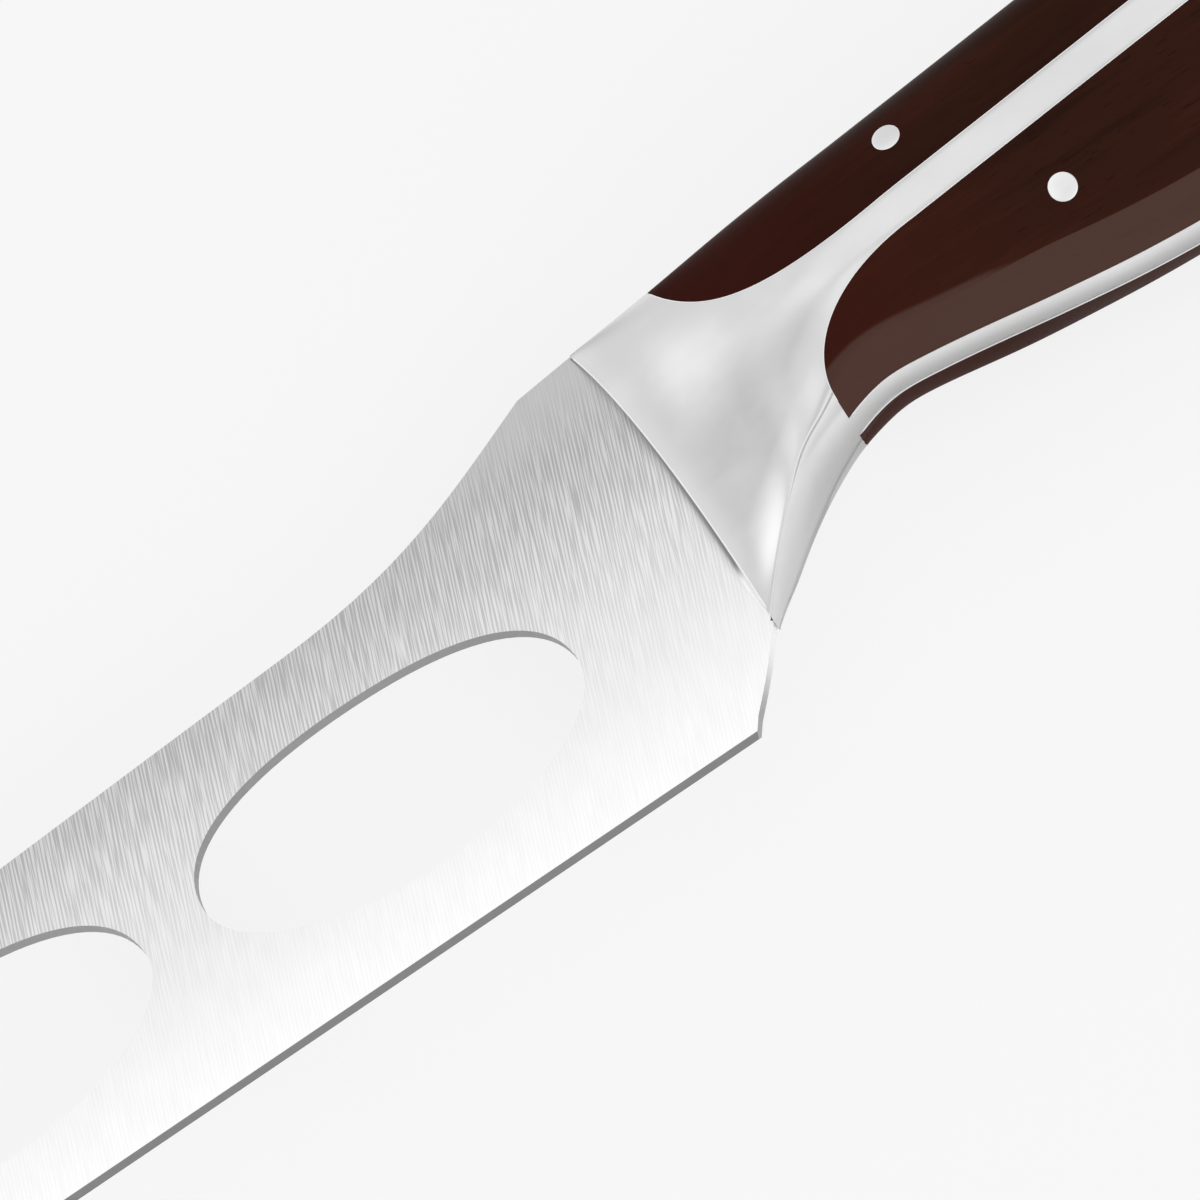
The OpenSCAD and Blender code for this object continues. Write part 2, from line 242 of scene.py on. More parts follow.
@dataclass(frozen=True)
class GripForm:
    """The swept outer form of the bolster and the grip, in finer steps than the CAD has.

    Each table holds rows of a share of the grip's length and a share of the size it shapes:
    the crown's height, the ridge's height or the half thickness.
    """

    sizes: GripSizes = field(default_factory=GripSizes)
    blade: BladeSizes = field(default_factory=BladeSizes)
    front_steps: int = 96
    grip_steps: int = 84
    butt_steps: int = 14
    crown_steps: int = 22
    flank_steps: int = 12
    belly_steps: int = 14
    round_steps: int = 4
    front_share: float = 0.028
    swell_end_share: float = 0.26
    grip_end_share: float = 0.905
    flat_share: float = 0.85
    soft_reach: float = 0.62
    fair_places: tuple[float, ...] = (-2.0, -1.5, -1.0, -0.5, 0.0, 0.5, 1.0, 1.5, 2.0)
    fair_weights: tuple[float, ...] = (1.0, 3.0, 6.0, 9.0, 10.0, 9.0, 6.0, 3.0, 1.0)
    even_along: int = 70
    even_across: int = 8
    flank_tilt: float = 0.04
    swell_spread: float = 0.01
    sole_places: tuple[float, ...] = (0.85, 0.65, 0.4, 0.14)
    sole_bulge: float = 0.1
    sole_turn: float = 2.2
    back_shares: Rows = (
        (0, 1.034), (0.04, 1.054), (0.1, 1.049), (0.16, 1.036), (0.21, 1.015), (0.26, 1),
        (0.5, 1), (0.72, 1.01), (0.86, 0.985), (0.94, 0.93), (1, 0.86),
    )
    belly_shares: Rows = (
        (0, 0.014), (0.028, 0.166), (0.052, 0.312), (0.076, 0.43), (0.098, 0.528),
        (0.116, 0.593), (0.132, 0.64), (0.148, 0.671), (0.16, 0.694), (0.18, 0.718), (0.2, 0.725),
        (0.23, 0.701), (0.26, 0.671), (0.32, 0.607), (0.384, 0.55), (0.45, 0.515),
        (0.53, 0.511), (0.62, 0.551), (0.72, 0.587), (0.8, 0.593), (0.88, 0.567),
        (0.94, 0.545), (1, 0.54),
    )
    swell_shares: Rows = (
        (0.028, 0), (0.046, 0.01), (0.053, 0.045), (0.064, 0.125), (0.08, 0.245), (0.1, 0.39),
        (0.13, 0.59),
        (0.16, 0.76), (0.195, 0.9), (0.23, 0.975), (0.27, 1), (0.6, 1), (1, 1),
    )
    belly_width_shares: Rows = (
        (0.028, 0.09), (0.04, 0.09), (0.052, 0.115), (0.062, 0.2), (0.075, 0.315),
        (0.086, 0.37), (0.1, 0.418), (0.116, 0.458), (0.132, 0.43), (0.148, 0.395),
        (0.165, 0.355), (0.185, 0.28), (0.21, 0.235), (0.26, 0.22), (1, 0.22),
    )
    shoulder_shares: Rows = (
        (0.028, 0.226), (0.04, 0.226), (0.052, 0.322), (0.062, 0.435), (0.075, 0.543),
        (0.086, 0.59), (0.1, 0.62), (0.108, 0.67), (0.116, 0.73), (0.132, 0.73), (0.148, 0.68),
        (0.16, 0.69), (0.174, 0.75), (0.19, 0.78), (0.21, 0.79), (0.232, 0.8), (0.256, 0.84),
        (0.29, 0.93), (0.34, 1), (1, 1),
    )
    hollow_shares: Rows = (
        (0.028, 0), (0.05, 0.012), (0.076, 0.055), (0.1, 0.05), (0.13, 0.02), (0.17, -0.01),
        (0.22, -0.015), (0.29, 0), (1, 0),
    )
    shoulder_rise_shares: Rows = (
        (0.028, 0), (0.094, 0), (0.104, 0.01), (0.116, 0.02), (0.132, 0.015), (0.148, 0.02),
        (0.16, 0.025), (0.175, 0.045), (0.205, 0.075), (0.26, 0.06), (0.34, 0.11), (1, 0.13),
    )
    shoulder_end_shares: Rows = (
        (0.028, 0.05), (0.094, 0.05), (0.104, 0.06), (0.116, 0.08), (0.132, 0.06), (0.148, 0.065),
        (0.16, 0.075), (0.175, 0.105), (0.205, 0.145), (0.26, 0.13), (0.34, 0.18), (1, 0.21),
    )
    soft_shares: Rows = ((0.028, 1), (0.12, 1), (0.165, 0.75), (0.21, 0.25), (0.25, 0), (1, 0))

    @property
    def ridge_z(self) -> float:
        """Half thickness of the grip at its ridge."""
        return self.sizes.thickness / 2

    @property
    def front_z(self) -> float:
        """Half thickness of the bolster at its front."""
        return self.blade.thickness / 2 + self.sizes.bolster_step

    @property
    def web_z(self) -> float:
        """Half thickness of the frame's web."""
        return self.sizes.web / 2

    @property
    def flat_h(self) -> float:
        """Half height of the flat along the ridge."""
        return self.web_z * self.flat_share

    @property
    def fall(self) -> float:
        """How far the flank falls for each millimetre from its ridge."""
        return math.tan(math.radians(self.sizes.flank_fall))

    def share(self, rows: Rows, x: float, spread: float = 0.008) -> float:
        """Reads a table at x as a fair curve.

        Args:
            rows: Rows of place and value, as shares of the grip's length.
            x: Distance from the heel in millimetres.
            spread: How far to each side the curve is evened out.

        Returns:
            The value there.
        """
        place = x / self.sizes.length
        spread = max(min(spread, (place - rows[0][0]) / 2, (rows[-1][0] - place) / 2), 0.0)
        near = [smooth(rows, place + spread * t) for t in self.fair_places]
        return sum(w * v for w, v in zip(self.fair_weights, near)) / sum(self.fair_weights)

    def ridge_y(self, x: float) -> float:
        """Gives the height of the ridge at x."""
        rise = self.blade.heel_h - self.sizes.crown_h * self.back_shares[0][1]
        return rise + x * math.tan(math.radians(self.sizes.ridge_tilt))

    def back_y(self, x: float) -> float:
        """Gives the height of the back at x."""
        return self.ridge_y(x) + self.sizes.crown_h * self.share(self.back_shares, x)

    def belly_y(self, x: float) -> float:
        """Gives the height of the belly at x."""
        return self.ridge_y(x) * self.share(self.belly_shares, x)

    def crown(self) -> np.ndarray:
        """Gives the full-size half section of the back, down to the end of its rounding.

        Returns:
            Rows of z and y.
        """
        size = self.sizes
        fall = math.radians(size.flank_fall)
        top = size.crown_h - size.crown_r
        middle = self.ridge_z - (top - self.flat_h) * self.fall - size.crown_r / math.cos(fall)
        turn = np.radians(np.linspace(90, size.flank_fall, self.crown_steps + 1))
        return np.stack(
            [middle + size.crown_r * np.cos(turn), top + size.crown_r * np.sin(turn)], 1
        )

    def half_section(self, x: float) -> np.ndarray:
        """Draws the half section at x, from the middle of the back to that of the belly.

        Args:
            x: Distance from the heel in millimetres.

        Returns:
            Rows of z and y.
        """
        y0, yb = self.ridge_y(x), self.belly_y(x)
        grow = self.ridge_z - self.front_z
        thin = min(self.share(self.swell_shares, x, self.swell_spread), 1.0)
        z0 = self.front_z + grow * thin
        high = self.share(self.back_shares, x)
        crown = self.crown()
        back = np.stack(
            [self.front_z + (crown[:, 0] - self.front_z) * thin, y0 + crown[:, 1] * high], 1
        )
        wide = self.ridge_z * self.share(self.belly_width_shares, x)
        hollow = 4 * self.ridge_z * self.share(self.hollow_shares, x)
        out = (self.ridge_z - (y0 - self.flat_h - yb) * self.fall) * self.share(
            self.shoulder_shares, x
        )
        rise = self.ridge_z * self.share(self.shoulder_rise_shares, x)
        end = self.ridge_z * self.share(self.shoulder_end_shares, x)
        foot = y0 - self.flat_h
        end_t = end / (foot - yb)

        def flank(share: float) -> np.ndarray:
            """Gives the point of the lower flank at a share of the way up from the belly."""
            sag = hollow * share * (1 - share)
            return np.array([out + (z0 - out) * share - sag, yb + (foot - yb) * share])

        brow, heel = np.array([z0, y0 + self.flat_h]), np.array([z0, foot])
        soft, small = self.share(self.soft_shares, x), self.sizes.ridge_round
        high_run = float(np.linalg.norm(back[-1] - brow))
        high_round = small + soft * (self.soft_reach * high_run - small)
        low_round = small + soft * (self.soft_reach * (foot - yb) - small)
        up = brow + (back[-1] - brow) * high_round / high_run
        low_share = 1 - low_round / (foot - yb)
        crisp = np.vstack(
            [
                bezier([up, brow, brow - (0, small)], self.round_steps),
                bezier([heel + (0, small), heel, flank(low_share)], self.round_steps),
            ]
        )
        round_over = bezier([up, brow, heel, flank(low_share)], len(crisp) - 1)
        ridge = round_over * soft + crisp * (1 - soft)
        upper = [back[-1] + (up - back[-1]) * t for t in np.linspace(0, 1, self.round_steps + 1)]
        down = end_t + (low_share - end_t) * np.linspace(1, 0, self.flank_steps)
        lower = [flank(t) for t in down]
        belly = bezier([flank(end_t), (out, yb + rise), (wide, yb)], self.belly_steps)
        sole = [(wide * t, yb - wide * self.sole_bulge * (1 - t * t)) for t in self.sole_places]
        return np.vstack([back[:-1], upper[:-1], ridge, lower[1:], belly[1:], sole])

    def sole_y(self, x: float, z: float) -> float:
        """Gives the height of the underside at x and z."""
        low = self.half_section(x)[-(self.belly_steps + len(self.sole_places)) :][::-1]
        return float(np.interp(z, low[:, 0], low[:, 1]))

    def ring(self, x: float, inset: float = 0.0) -> np.ndarray:
        """Draws the whole section at x, drawn in by inset.

        Args:
            x: Distance from the heel in millimetres.
            inset: How far the section is drawn in.

        Returns:
            Rows of x, y and z, once round.
        """
        half = self.half_section(x)
        y0 = self.ridge_y(x)
        reach = np.where(half[:, 1] > y0, self.back_y(x) - y0, y0 - self.belly_y(x))
        y = y0 + (half[:, 1] - y0) * (1 - inset / reach)
        z = half[:, 0] * (1 - inset / self.ridge_z)
        near = np.stack([np.full(len(y), x), y, z], 1)
        return np.vstack([near, near[::-1] * (1, 1, -1)])

    def stations(self) -> list[tuple[float, float]]:
        """Gives where the sections stand, and by how much each is drawn in.

        Returns:
            Pairs of the distance from the heel and the inset, in millimetres.
        """
        size = self.sizes
        front = np.linspace(self.front_share, self.swell_end_share, self.front_steps + 1)
        grip = np.linspace(self.swell_end_share, self.grip_end_share, self.grip_steps + 1)
        turn = np.radians(np.linspace(0, 90, self.butt_steps + 1))
        rows = [(share * size.length, 0.0) for share in (*front, *grip[1:])]
        rows += [
            (size.length - size.butt_r + size.butt_r * math.sin(a), size.butt_r * (1 - math.cos(a)))
            for a in turn
        ]
        return rows

    def even(self, normals: np.ndarray) -> np.ndarray:
        """Evens out the normals as polishing does, but not across the crease of the belly.

        Args:
            normals: One normal for each point of the mesh.

        Returns:
            The evened normals.
        """
        rings = self.stations()
        size = len(self.ring(rings[0][0]))
        half = size // 2
        flank = half - len(self.sole_places)
        grid = normals[: len(rings) * size].reshape(len(rings), size, 3)[:, :flank].copy()
        soft = np.array([self.share(self.soft_shares, x) for x, _ in rings])[:, None, None]
        for turn in range(self.even_along):
            wide = np.concatenate([grid[:1], grid, grid[-1:]])
            mean = (wide[:-2] + 2 * grid + wide[2:]) / 4
            grid = grid + (mean - grid) * np.minimum(soft * 2, 1)
            if turn % (self.even_along // self.even_across) == 0:
                wide = np.concatenate([grid[:, :1] * (1, 1, -1), grid, grid[:, -1:]], 1)
                grid = grid + ((wide[:, :-2] + 2 * grid + wide[:, 2:]) / 4 - grid) * soft
        low = np.concatenate(
            [
                np.zeros(self.crown_steps + 2 * self.round_steps + 1),
                np.linspace(0, 1, self.round_steps + 1),
                np.ones(self.flank_steps - 1),
                np.linspace(1, 0, self.belly_steps),
            ]
        )
        grid[:, :, 1] -= self.flank_tilt * soft[:, :, 0] * low
        grid /= np.linalg.norm(grid, axis=2)[:, :, None]
        whole = normals.copy()
        both = whole[: len(rings) * size].reshape(len(rings), size, 3)
        both[:, :flank] = grid
        both[:, size - flank :] = grid[:, ::-1] * (1, 1, -1)
        both[:, flank : size - flank, 2] *= self.sole_turn
        both /= np.linalg.norm(both, axis=2)[:, :, None]
        return whole

    def mesh(self) -> tuple[np.ndarray, list[list[int]]]:
        """Builds the closed form.

        Returns:
            Its points in millimetres from the heel, and its faces.
        """
        rings = [self.ring(x, inset) for x, inset in self.stations()]
        size = len(rings[0])
        faces = ring_faces(len(rings), size)
        front = len(rings) * size
        last = (len(rings) - 1) * size
        faces += [[(k + 1) % size, k, front] for k in range(size)]
        faces += [[last + k, last + (k + 1) % size, front + 1] for k in range(size)]
        middles = [(r[0, 0], self.ridge_y(r[0, 0]), 0.0) for r in (rings[0], rings[-1])]
        return np.vstack([*rings, middles]), faces


@dataclass(frozen=True)
class ScaleBorder:
    """Side outline of a wooden scale.

    Each row holds a share of the grip's length and a share of the crown's height off the
    border of the band.
    """

    front_shares: Rows
    end_shares: Rows
    above: bool
    steps: int = 40
    over_share: float = 0.6
    over: float = 5.0

    def curve(self, form: GripForm) -> np.ndarray:
        """Gives the outline from its front point over the band to its end, as x and y.

        Args:
            form: The grip's outer form.

        Returns:
            Rows of x and y.
        """
        size = form.sizes
        border = form.web_z if self.above else -form.web_z
        ends = []
        for rows in (self.front_shares, self.end_shares):
            guides = [
                (u * size.length, form.ridge_y(u * size.length) + border + v * size.crown_h)
                for u, v in rows
            ]
            ends.append(bezier(guides, self.steps))
        x0, x1 = ends[0][-1, 0], ends[1][0, 0]
        band = [(x, form.ridge_y(x) + border) for x in np.linspace(x0, x1, self.steps)[1:-1]]
        return np.vstack([ends[0], band, ends[1]])

    def polygon(self, form: GripForm) -> np.ndarray:
        """Gives the outline closed well past the back or the belly.

        Args:
            form: The grip's outer form.

        Returns:
            Rows of x and y.
        """
        line = self.curve(form)
        back = form.back_y(form.sizes.length * self.over_share)
        far = back + self.over if self.above else 0.0
        return np.vstack([[(line[0, 0], far)], line, [(line[-1, 0], far)]])


UPPER = ScaleBorder(
    front_shares=((0.1, 0.94), (0.1055, 0.575), (0.1425, -0.045), (0.26, 0)),
    end_shares=((0.84, 0), (0.9, 0.02), (0.93, 0.3), (0.935, 1)),
    above=True,
)
LOWER = ScaleBorder(
    front_shares=((0.163, -0.65), (0.158, -0.235), (0.195, 0.03), (0.27, 0)),
    end_shares=((0.84, 0), (0.905, -0.03), (0.94, -0.4), (0.93, -1.4)),
    above=False,
)
BORDERS = {"upper": UPPER, "lower": LOWER}


@dataclass(frozen=True)
class JoinLine:
    """The line where the blade meets the bolster, from the belly up to the back."""

    shares: Rows = ((0.05, 0.2), (0.0525, 0.45), (0.052, 0.85), (0.0365, 1.02))
    steps: int = 60

    def curve(self, form: GripForm) -> np.ndarray:
        """Gives the line as x and y.

        Args:
            form: The grip's outer form.

        Returns:
            Rows of x and y.
        """
        guides = [(u * form.sizes.length, v * form.blade.heel_h) for u, v in self.shares]
        line = bezier(guides, self.steps)
        line[0, 1] = form.belly_y(line[0, 0])
        inside = [p for p in line if p[1] < form.back_y(p[0])]
        top = inside[-1][0]
        return np.vstack([inside, [(top, form.back_y(top))]])


class MeshMaker:
    """Turns points in millimetres from the heel into Blender objects."""

    def __init__(self, placing: Placing) -> None:
        """Keeps where the knife stands."""
        self.placing = placing

    def make(
        self, name: str, points: np.ndarray, faces: Sequence[Sequence[int]], wall: int = 0
    ) -> bpy.types.Object:
        """Makes a linked object.

        Args:
            name: Name of the object.
            points: Rows of x, y and z in millimetres from the heel.
            faces: Lists of point numbers.
            wall: Material index of every face.

        Returns:
            The new object.
        """
        mesh = bpy.data.meshes.new(name)
        mesh.from_pydata(self.placing.points(points).tolist(), [], [list(f) for f in faces])
        mesh.polygons.foreach_set("material_index", [wall] * len(mesh.polygons))
        mesh.update()
        return linked(name, mesh)

    def prism(self, name: str, outline: np.ndarray, low: float, high: float) -> bpy.types.Object:
        """Makes an upright prism, whose faces are marked as walls.

        Args:
            name: Name of the object.
            outline: Rows of x and y.
            low: Height of its lower face.
            high: Height of its upper face.

        Returns:
            The new object.
        """
        x, y = outline[:, 0], outline[:, 1]
        if np.sum(x * np.roll(y, -1) - y * np.roll(x, -1)) < 0:
            outline = outline[::-1]
        n = len(outline)
        points = np.vstack([np.column_stack([outline, np.full(n, z)]) for z in (low, high)])
        faces = [[k, (k + 1) % n, n + (k + 1) % n, n + k] for k in range(n)]
        faces += [list(range(n - 1, -1, -1)), list(range(n, 2 * n))]
        return self.make(name, points, faces, wall=1)

    def tube(
        self, name: str, path: np.ndarray, radius: float, sides: int = 10, end_share: float = 0.3
    ) -> bpy.types.Object:
        """Sweeps a small round bead along a path.

        Args:
            name: Name of the object.
            path: Rows of x, y and z.
            radius: Radius of the bead.
            sides: How many sides it has.
            end_share: Share of the radius at its two ends.

        Returns:
            The new object.
        """
        along = np.gradient(path, axis=0)
        along /= np.linalg.norm(along, axis=1)[:, None]
        side = np.cross(along, (0.0, 0.0, 1.0))
        side /= np.maximum(np.linalg.norm(side, axis=1), 1e-6)[:, None]
        lift = np.cross(side, along)
        turn = np.linspace(0, 2 * math.pi, sides, endpoint=False)
        reach = np.full(len(path), radius)
        reach[[0, -1]] *= end_share
        rings = [
            path[k] + reach[k] * (np.cos(a) * side[k] + np.sin(a) * lift[k])
            for k in range(len(path))
            for a in turn
        ]
        faces = ring_faces(len(path), sides)
        last = (len(path) - 1) * sides
        faces += [list(range(sides - 1, -1, -1)), list(range(last, last + sides))]
        obj = self.make(name, np.array(rings), faces)
        obj.data.shade_smooth()
        return obj


class Cutter:
    """Cuts closed meshes with each other and keeps the smooth shading of the outer form."""

    def __init__(self, skin: bpy.types.Object, form: GripForm) -> None:
        """Reads the outer form whose shading is kept.

        Args:
            skin: Mesh object of the outer form.
            form: The form it was made from.
        """
        mesh = skin.data
        self.corners = [v.co.copy() for v in mesh.vertices]
        raw = np.array([v.normal for v in mesh.vertices])
        self.normals = [Vector(n) for n in form.even(raw)]
        self.faces = [tuple(p.vertices) for p in mesh.polygons]
        self.tree = BVHTree.FromPolygons(self.corners, self.faces)

    def cut(
        self, obj: bpy.types.Object, tools: Sequence[bpy.types.Object], keep_inside: bool = False
    ) -> None:
        """Cuts an object with tools, and leaves the tools as they are.

        Args:
            obj: Object that is changed.
            tools: What it is cut with.
            keep_inside: Whether what lies inside the tool is kept, and not what lies outside.
        """
        for tool in tools:
            change = obj.modifiers.new("cut", "BOOLEAN")
            change.operation = "INTERSECT" if keep_inside else "DIFFERENCE"
            change.solver = "MANIFOLD"
            change.object = tool
            result = bpy.data.meshes.new_from_object(
                obj.evaluated_get(bpy.context.evaluated_depsgraph_get())
            )
            obj.modifiers.clear()
            old, obj.data = obj.data, result
            bpy.data.meshes.remove(old)

    def normal_at(self, place: Vector) -> Vector:
        """Gives the outer form's smooth normal at the point of it nearest to a place.

        Args:
            place: The place in metres.

        Returns:
            The normal.
        """
        spot, _, index, _ = self.tree.find_nearest(place)
        total = Vector()
        for k in self.faces[index]:
            total += self.normals[k] / max((self.corners[k] - spot).length_squared, 1e-16)
        return total.normalized()

    def shade(self, obj: bpy.types.Object) -> None:
        """Gives the outer faces the smooth normals of the outer form, and walls flat ones.

        Args:
            obj: Object that is shaded.
        """
        mesh = obj.data
        found: dict[int, Vector] = {}
        normals: list[Vector] = [Vector((0, 0, 1))] * len(mesh.loops)
        for face in mesh.polygons:
            for k in face.loop_indices:
                if face.material_index == 1:
                    normals[k] = face.normal.copy()
                    continue
                point = mesh.loops[k].vertex_index
                if point not in found:
                    found[point] = self.normal_at(mesh.vertices[point].co)
                normals[k] = found[point]
        mesh.shade_smooth()
        mesh.normals_split_custom_set(normals)

    def height(self, placing: Placing, x: float, y: float) -> float:
        """Gives the height of the outer form over the middle plane at x and y.

        Args:
            placing: Where the knife stands.
            x: Distance from the heel in millimetres.
            y: Height above the cutting edge in millimetres.

        Returns:
            The height in millimetres, or zero off the form.
        """
        start = Vector(placing.points(np.array([x, y, 60.0])))
        spot = self.tree.ray_cast(start, Vector((0, 0, -1)))[0]
        return 0.0 if spot is None else spot.z / MM - placing.shift()[2]


class Nodes:
    """Adds and joins the nodes of one tree."""

    def __init__(self, tree: bpy.types.NodeTree) -> None:
        """Keeps the tree."""
        self.tree = tree

    def add(self, kind: str, inputs: dict | None = None, **settings: object) -> bpy.types.Node:
        """Adds a node.

        Args:
            kind: Blender's type of node.
            inputs: Values or sockets for its inputs, by name or number.
            **settings: Properties of the node.

        Returns:
            The node.
        """
        node = self.tree.nodes.new(kind)
        for name, value in settings.items():
            setattr(node, name, value)
        for name, value in (inputs or {}).items():
            if isinstance(value, Socket):
                self.tree.links.new(value, node.inputs[name])
            else:
                node.inputs[name].default_value = value
        return node

    def math(self, kind: str, a: object, b: object = 0.0) -> Socket:
        """Adds a Math node and gives its output."""
        return self.add("ShaderNodeMath", {0: a, 1: b}, operation=kind).outputs[0]

    def times(self, product: object, *others: object) -> Socket:
        """Multiplies a value with others, one after the other.

        Args:
            product: The first value.
            *others: Values or sockets that it is multiplied with.

        Returns:
            The product.
        """
        for other in others:
            product = self.math("MULTIPLY", product, other)
        return product

    def rest(self, share: object) -> Socket:
        """Gives what a share leaves of the whole."""
        return self.math("SUBTRACT", 1.0, share)

    def vector(self, kind: str, a: object, b: object) -> Socket:
        """Adds a Vector Math node and gives its vector."""
        return self.add("ShaderNodeVectorMath", {0: a, 1: b}, operation=kind).outputs[0]

    def scaled(self, vector: object, scale: object) -> Socket:
        """Multiplies a vector or a colour by one number."""
        inputs = {0: vector, "Scale": scale}
        return self.add("ShaderNodeVectorMath", inputs, operation="SCALE").outputs[0]

    def split(self, vector: object) -> Sequence[Socket]:
        """Gives the x, y and z of a vector."""
        return self.add("ShaderNodeSeparateXYZ", {0: vector}).outputs

    def normal(self) -> Sequence[Socket]:
        """Gives the x, y and z of the surface's normal."""
        return self.split(self.add("ShaderNodeTexCoord").outputs["Normal"])

    def noise(
        self, at: object, finer: Colour, detail: float = 0.0, rough: float = 0.5, out: int = 0
    ) -> Socket:
        """Adds noise that is stretched along the axes.

        Args:
            at: Where it is read.
            finer: How much finer it is along x, y and z.
            detail: How many finer layers it has.
            rough: How strong each of them is against the one before.
            out: Number of the output: 0 gives one value and 1 gives three.

        Returns:
            The noise.
        """
        place = self.vector("MULTIPLY", at, finer)
        inputs = {"Vector": place, "Scale": 1.0, "Detail": detail, "Roughness": rough}
        return self.add("ShaderNodeTexNoise", inputs).outputs[out]

    def ramp(
        self, value: object, stops: Sequence[tuple[float, Colour]], kind: str = "LINEAR"
    ) -> Socket:
        """Adds a colour ramp.

        Args:
            value: What it reads.
            stops: Places from 0 to 1 with their linear colours.
            kind: How the colour goes from stop to stop.

        Returns:
            Its colour output.
        """
        node = self.add("ShaderNodeValToRGB", {0: value})
        node.color_ramp.interpolation = kind
        marks = node.color_ramp.elements
        while len(marks) < len(stops):
            marks.new(0.5)
        for mark, (place, colour) in zip(marks, stops):
            mark.position = place
            mark.color = (*colour, 1.0)
        return node.outputs["Color"]

    def span(self, value: object, reach: Range, to: Range = (0.0, 1.0)) -> Socket:
        """Adds a smooth step over a range of values.

        Args:
            value: What it reads.
            reach: The values at which the step starts and ends.
            to: What it gives before and after.

        Returns:
            The step.
        """
        inputs = {0: value, 1: reach[0], 2: reach[1], 3: to[0], 4: to[1]}
        return self.add("ShaderNodeMapRange", inputs, interpolation_type="SMOOTHSTEP").outputs[0]

    def mix(self, share: object, a: object, b: object) -> Socket:
        """Mixes two colours and gives the result."""
        a, b = (c if isinstance(c, Socket) else (*c, 1.0) for c in (a, b))
        return self.add("ShaderNodeMix", {0: share, 6: a, 7: b}, data_type="RGBA").outputs[2]


class Group:
    """A shader node group with named inputs and outputs."""

    def __init__(
        self, name: str, inputs: dict[str, tuple[str, object]], outputs: dict[str, str]
    ) -> None:
        """Makes the group and its sockets.

        Args:
            name: Name of the group.
            inputs: Socket types and first values by name.
            outputs: Socket types by name.
        """
        self.tree = bpy.data.node_groups.new(name, "ShaderNodeTree")
        for label, (kind, value) in inputs.items():
            made = self.tree.interface.new_socket(label, in_out="INPUT", socket_type=kind)
            if value is not None:
                made.default_value = value
        for label, kind in outputs.items():
            self.tree.interface.new_socket(label, in_out="OUTPUT", socket_type=kind)
        self.nodes = Nodes(self.tree)
        self.entry = self.nodes.add("NodeGroupInput").outputs
        self.exit = self.nodes.add("NodeGroupOutput")

    def give(self, label: str, value: Socket) -> None:
        """Joins a value to one of the outputs."""
        self.tree.links.new(value, self.exit.inputs[label])

    def place(self, nodes: Nodes, inputs: dict[str, object]) -> bpy.types.Node:
        """Places the group in a material with its own values."""
        return nodes.add("ShaderNodeGroup", inputs, node_tree=self.tree)


def brush_group() -> Group:
    """Fine lines of a brushed or ground surface, across the given direction.

    Returns:
        The group.
    """
    group = Group(
        "brushed_lines",
        {
            "Vector": ("NodeSocketVector", None),
            "Lean": ("NodeSocketVector", (0.0, 0.0, 0.0)),
            "Lines per mm": ("NodeSocketFloat", 3.0),
            "Length mm": ("NodeSocketFloat", 12.0),
        },
        {"Lines": "NodeSocketFloat", "Patches": "NodeSocketFloat"},
    )
    depth_share, sway_gain, contrast = 0.1, 1.3, (0.3, 0.7)
    sway_fine, broken_fine = (0.35, 0.6, 1.0), (0.7, 1.0, 1.0)
    hair_fine, patch_fine = (1.9, 0.9, 1.0), (0.12, 0.9, 1.0)
    hold_range, wave_range = (0.38, 0.6), (0.08, 0.32)
    n, entry = group.nodes, group.entry
    rotation = {"Vector": entry["Vector"], "Rotation": entry["Lean"]}
    turned = n.add("ShaderNodeVectorRotate", rotation, rotation_type="EULER_XYZ").outputs[0]
    parts = n.split(turned)
    across = n.times(parts[0], 1 / MM, entry["Lines per mm"])
    along = n.math("DIVIDE", n.times(parts[1], 1 / MM), entry["Length mm"])
    deep = n.times(parts[2], depth_share / MM)
    place = n.add("ShaderNodeCombineXYZ", {0: across, 1: along, 2: deep}).outputs[0]
    sway = n.times(n.noise(place, sway_fine), sway_gain)
    wave = n.math("SINE", n.times(n.math("ADD", across, sway), math.pi))
    hold = n.split(n.noise(place, broken_fine, out=1))[1]
    waves = n.times(wave, n.span(hold, hold_range, wave_range))
    group.give("Lines", n.span(n.math("ADD", waves, n.noise(place, hair_fine)), contrast))
    group.give("Patches", n.span(n.noise(place, patch_fine, 2.0), contrast))
    return group


def smudge_group() -> Group:
    """Faint polishing marks and handling haze of a polished metal.

    Returns:
        The group.
    """
    group = Group(
        "polish_haze",
        {"Vector": ("NodeSocketVector", None), "Marks per mm": ("NodeSocketFloat", 1.0)},
        {"Haze": "NodeSocketFloat", "Scratches": "NodeSocketFloat"},
    )
    haze_fine, haze_contrast = (0.09, 0.14, 0.14), (0.3, 0.72)
    mark_fine, mark_contrast = (0.15, 5.0, 5.0), (0.35, 0.65)
    n, entry = group.nodes, group.entry
    place = n.vector("MULTIPLY", entry["Vector"], (1 / MM,) * 3)
    group.give("Haze", n.span(n.noise(place, haze_fine, 4.0, 0.6), haze_contrast))
    marks = n.noise(n.scaled(place, entry["Marks per mm"]), mark_fine, 3.0)
    group.give("Scratches", n.span(marks, mark_contrast))
    return group


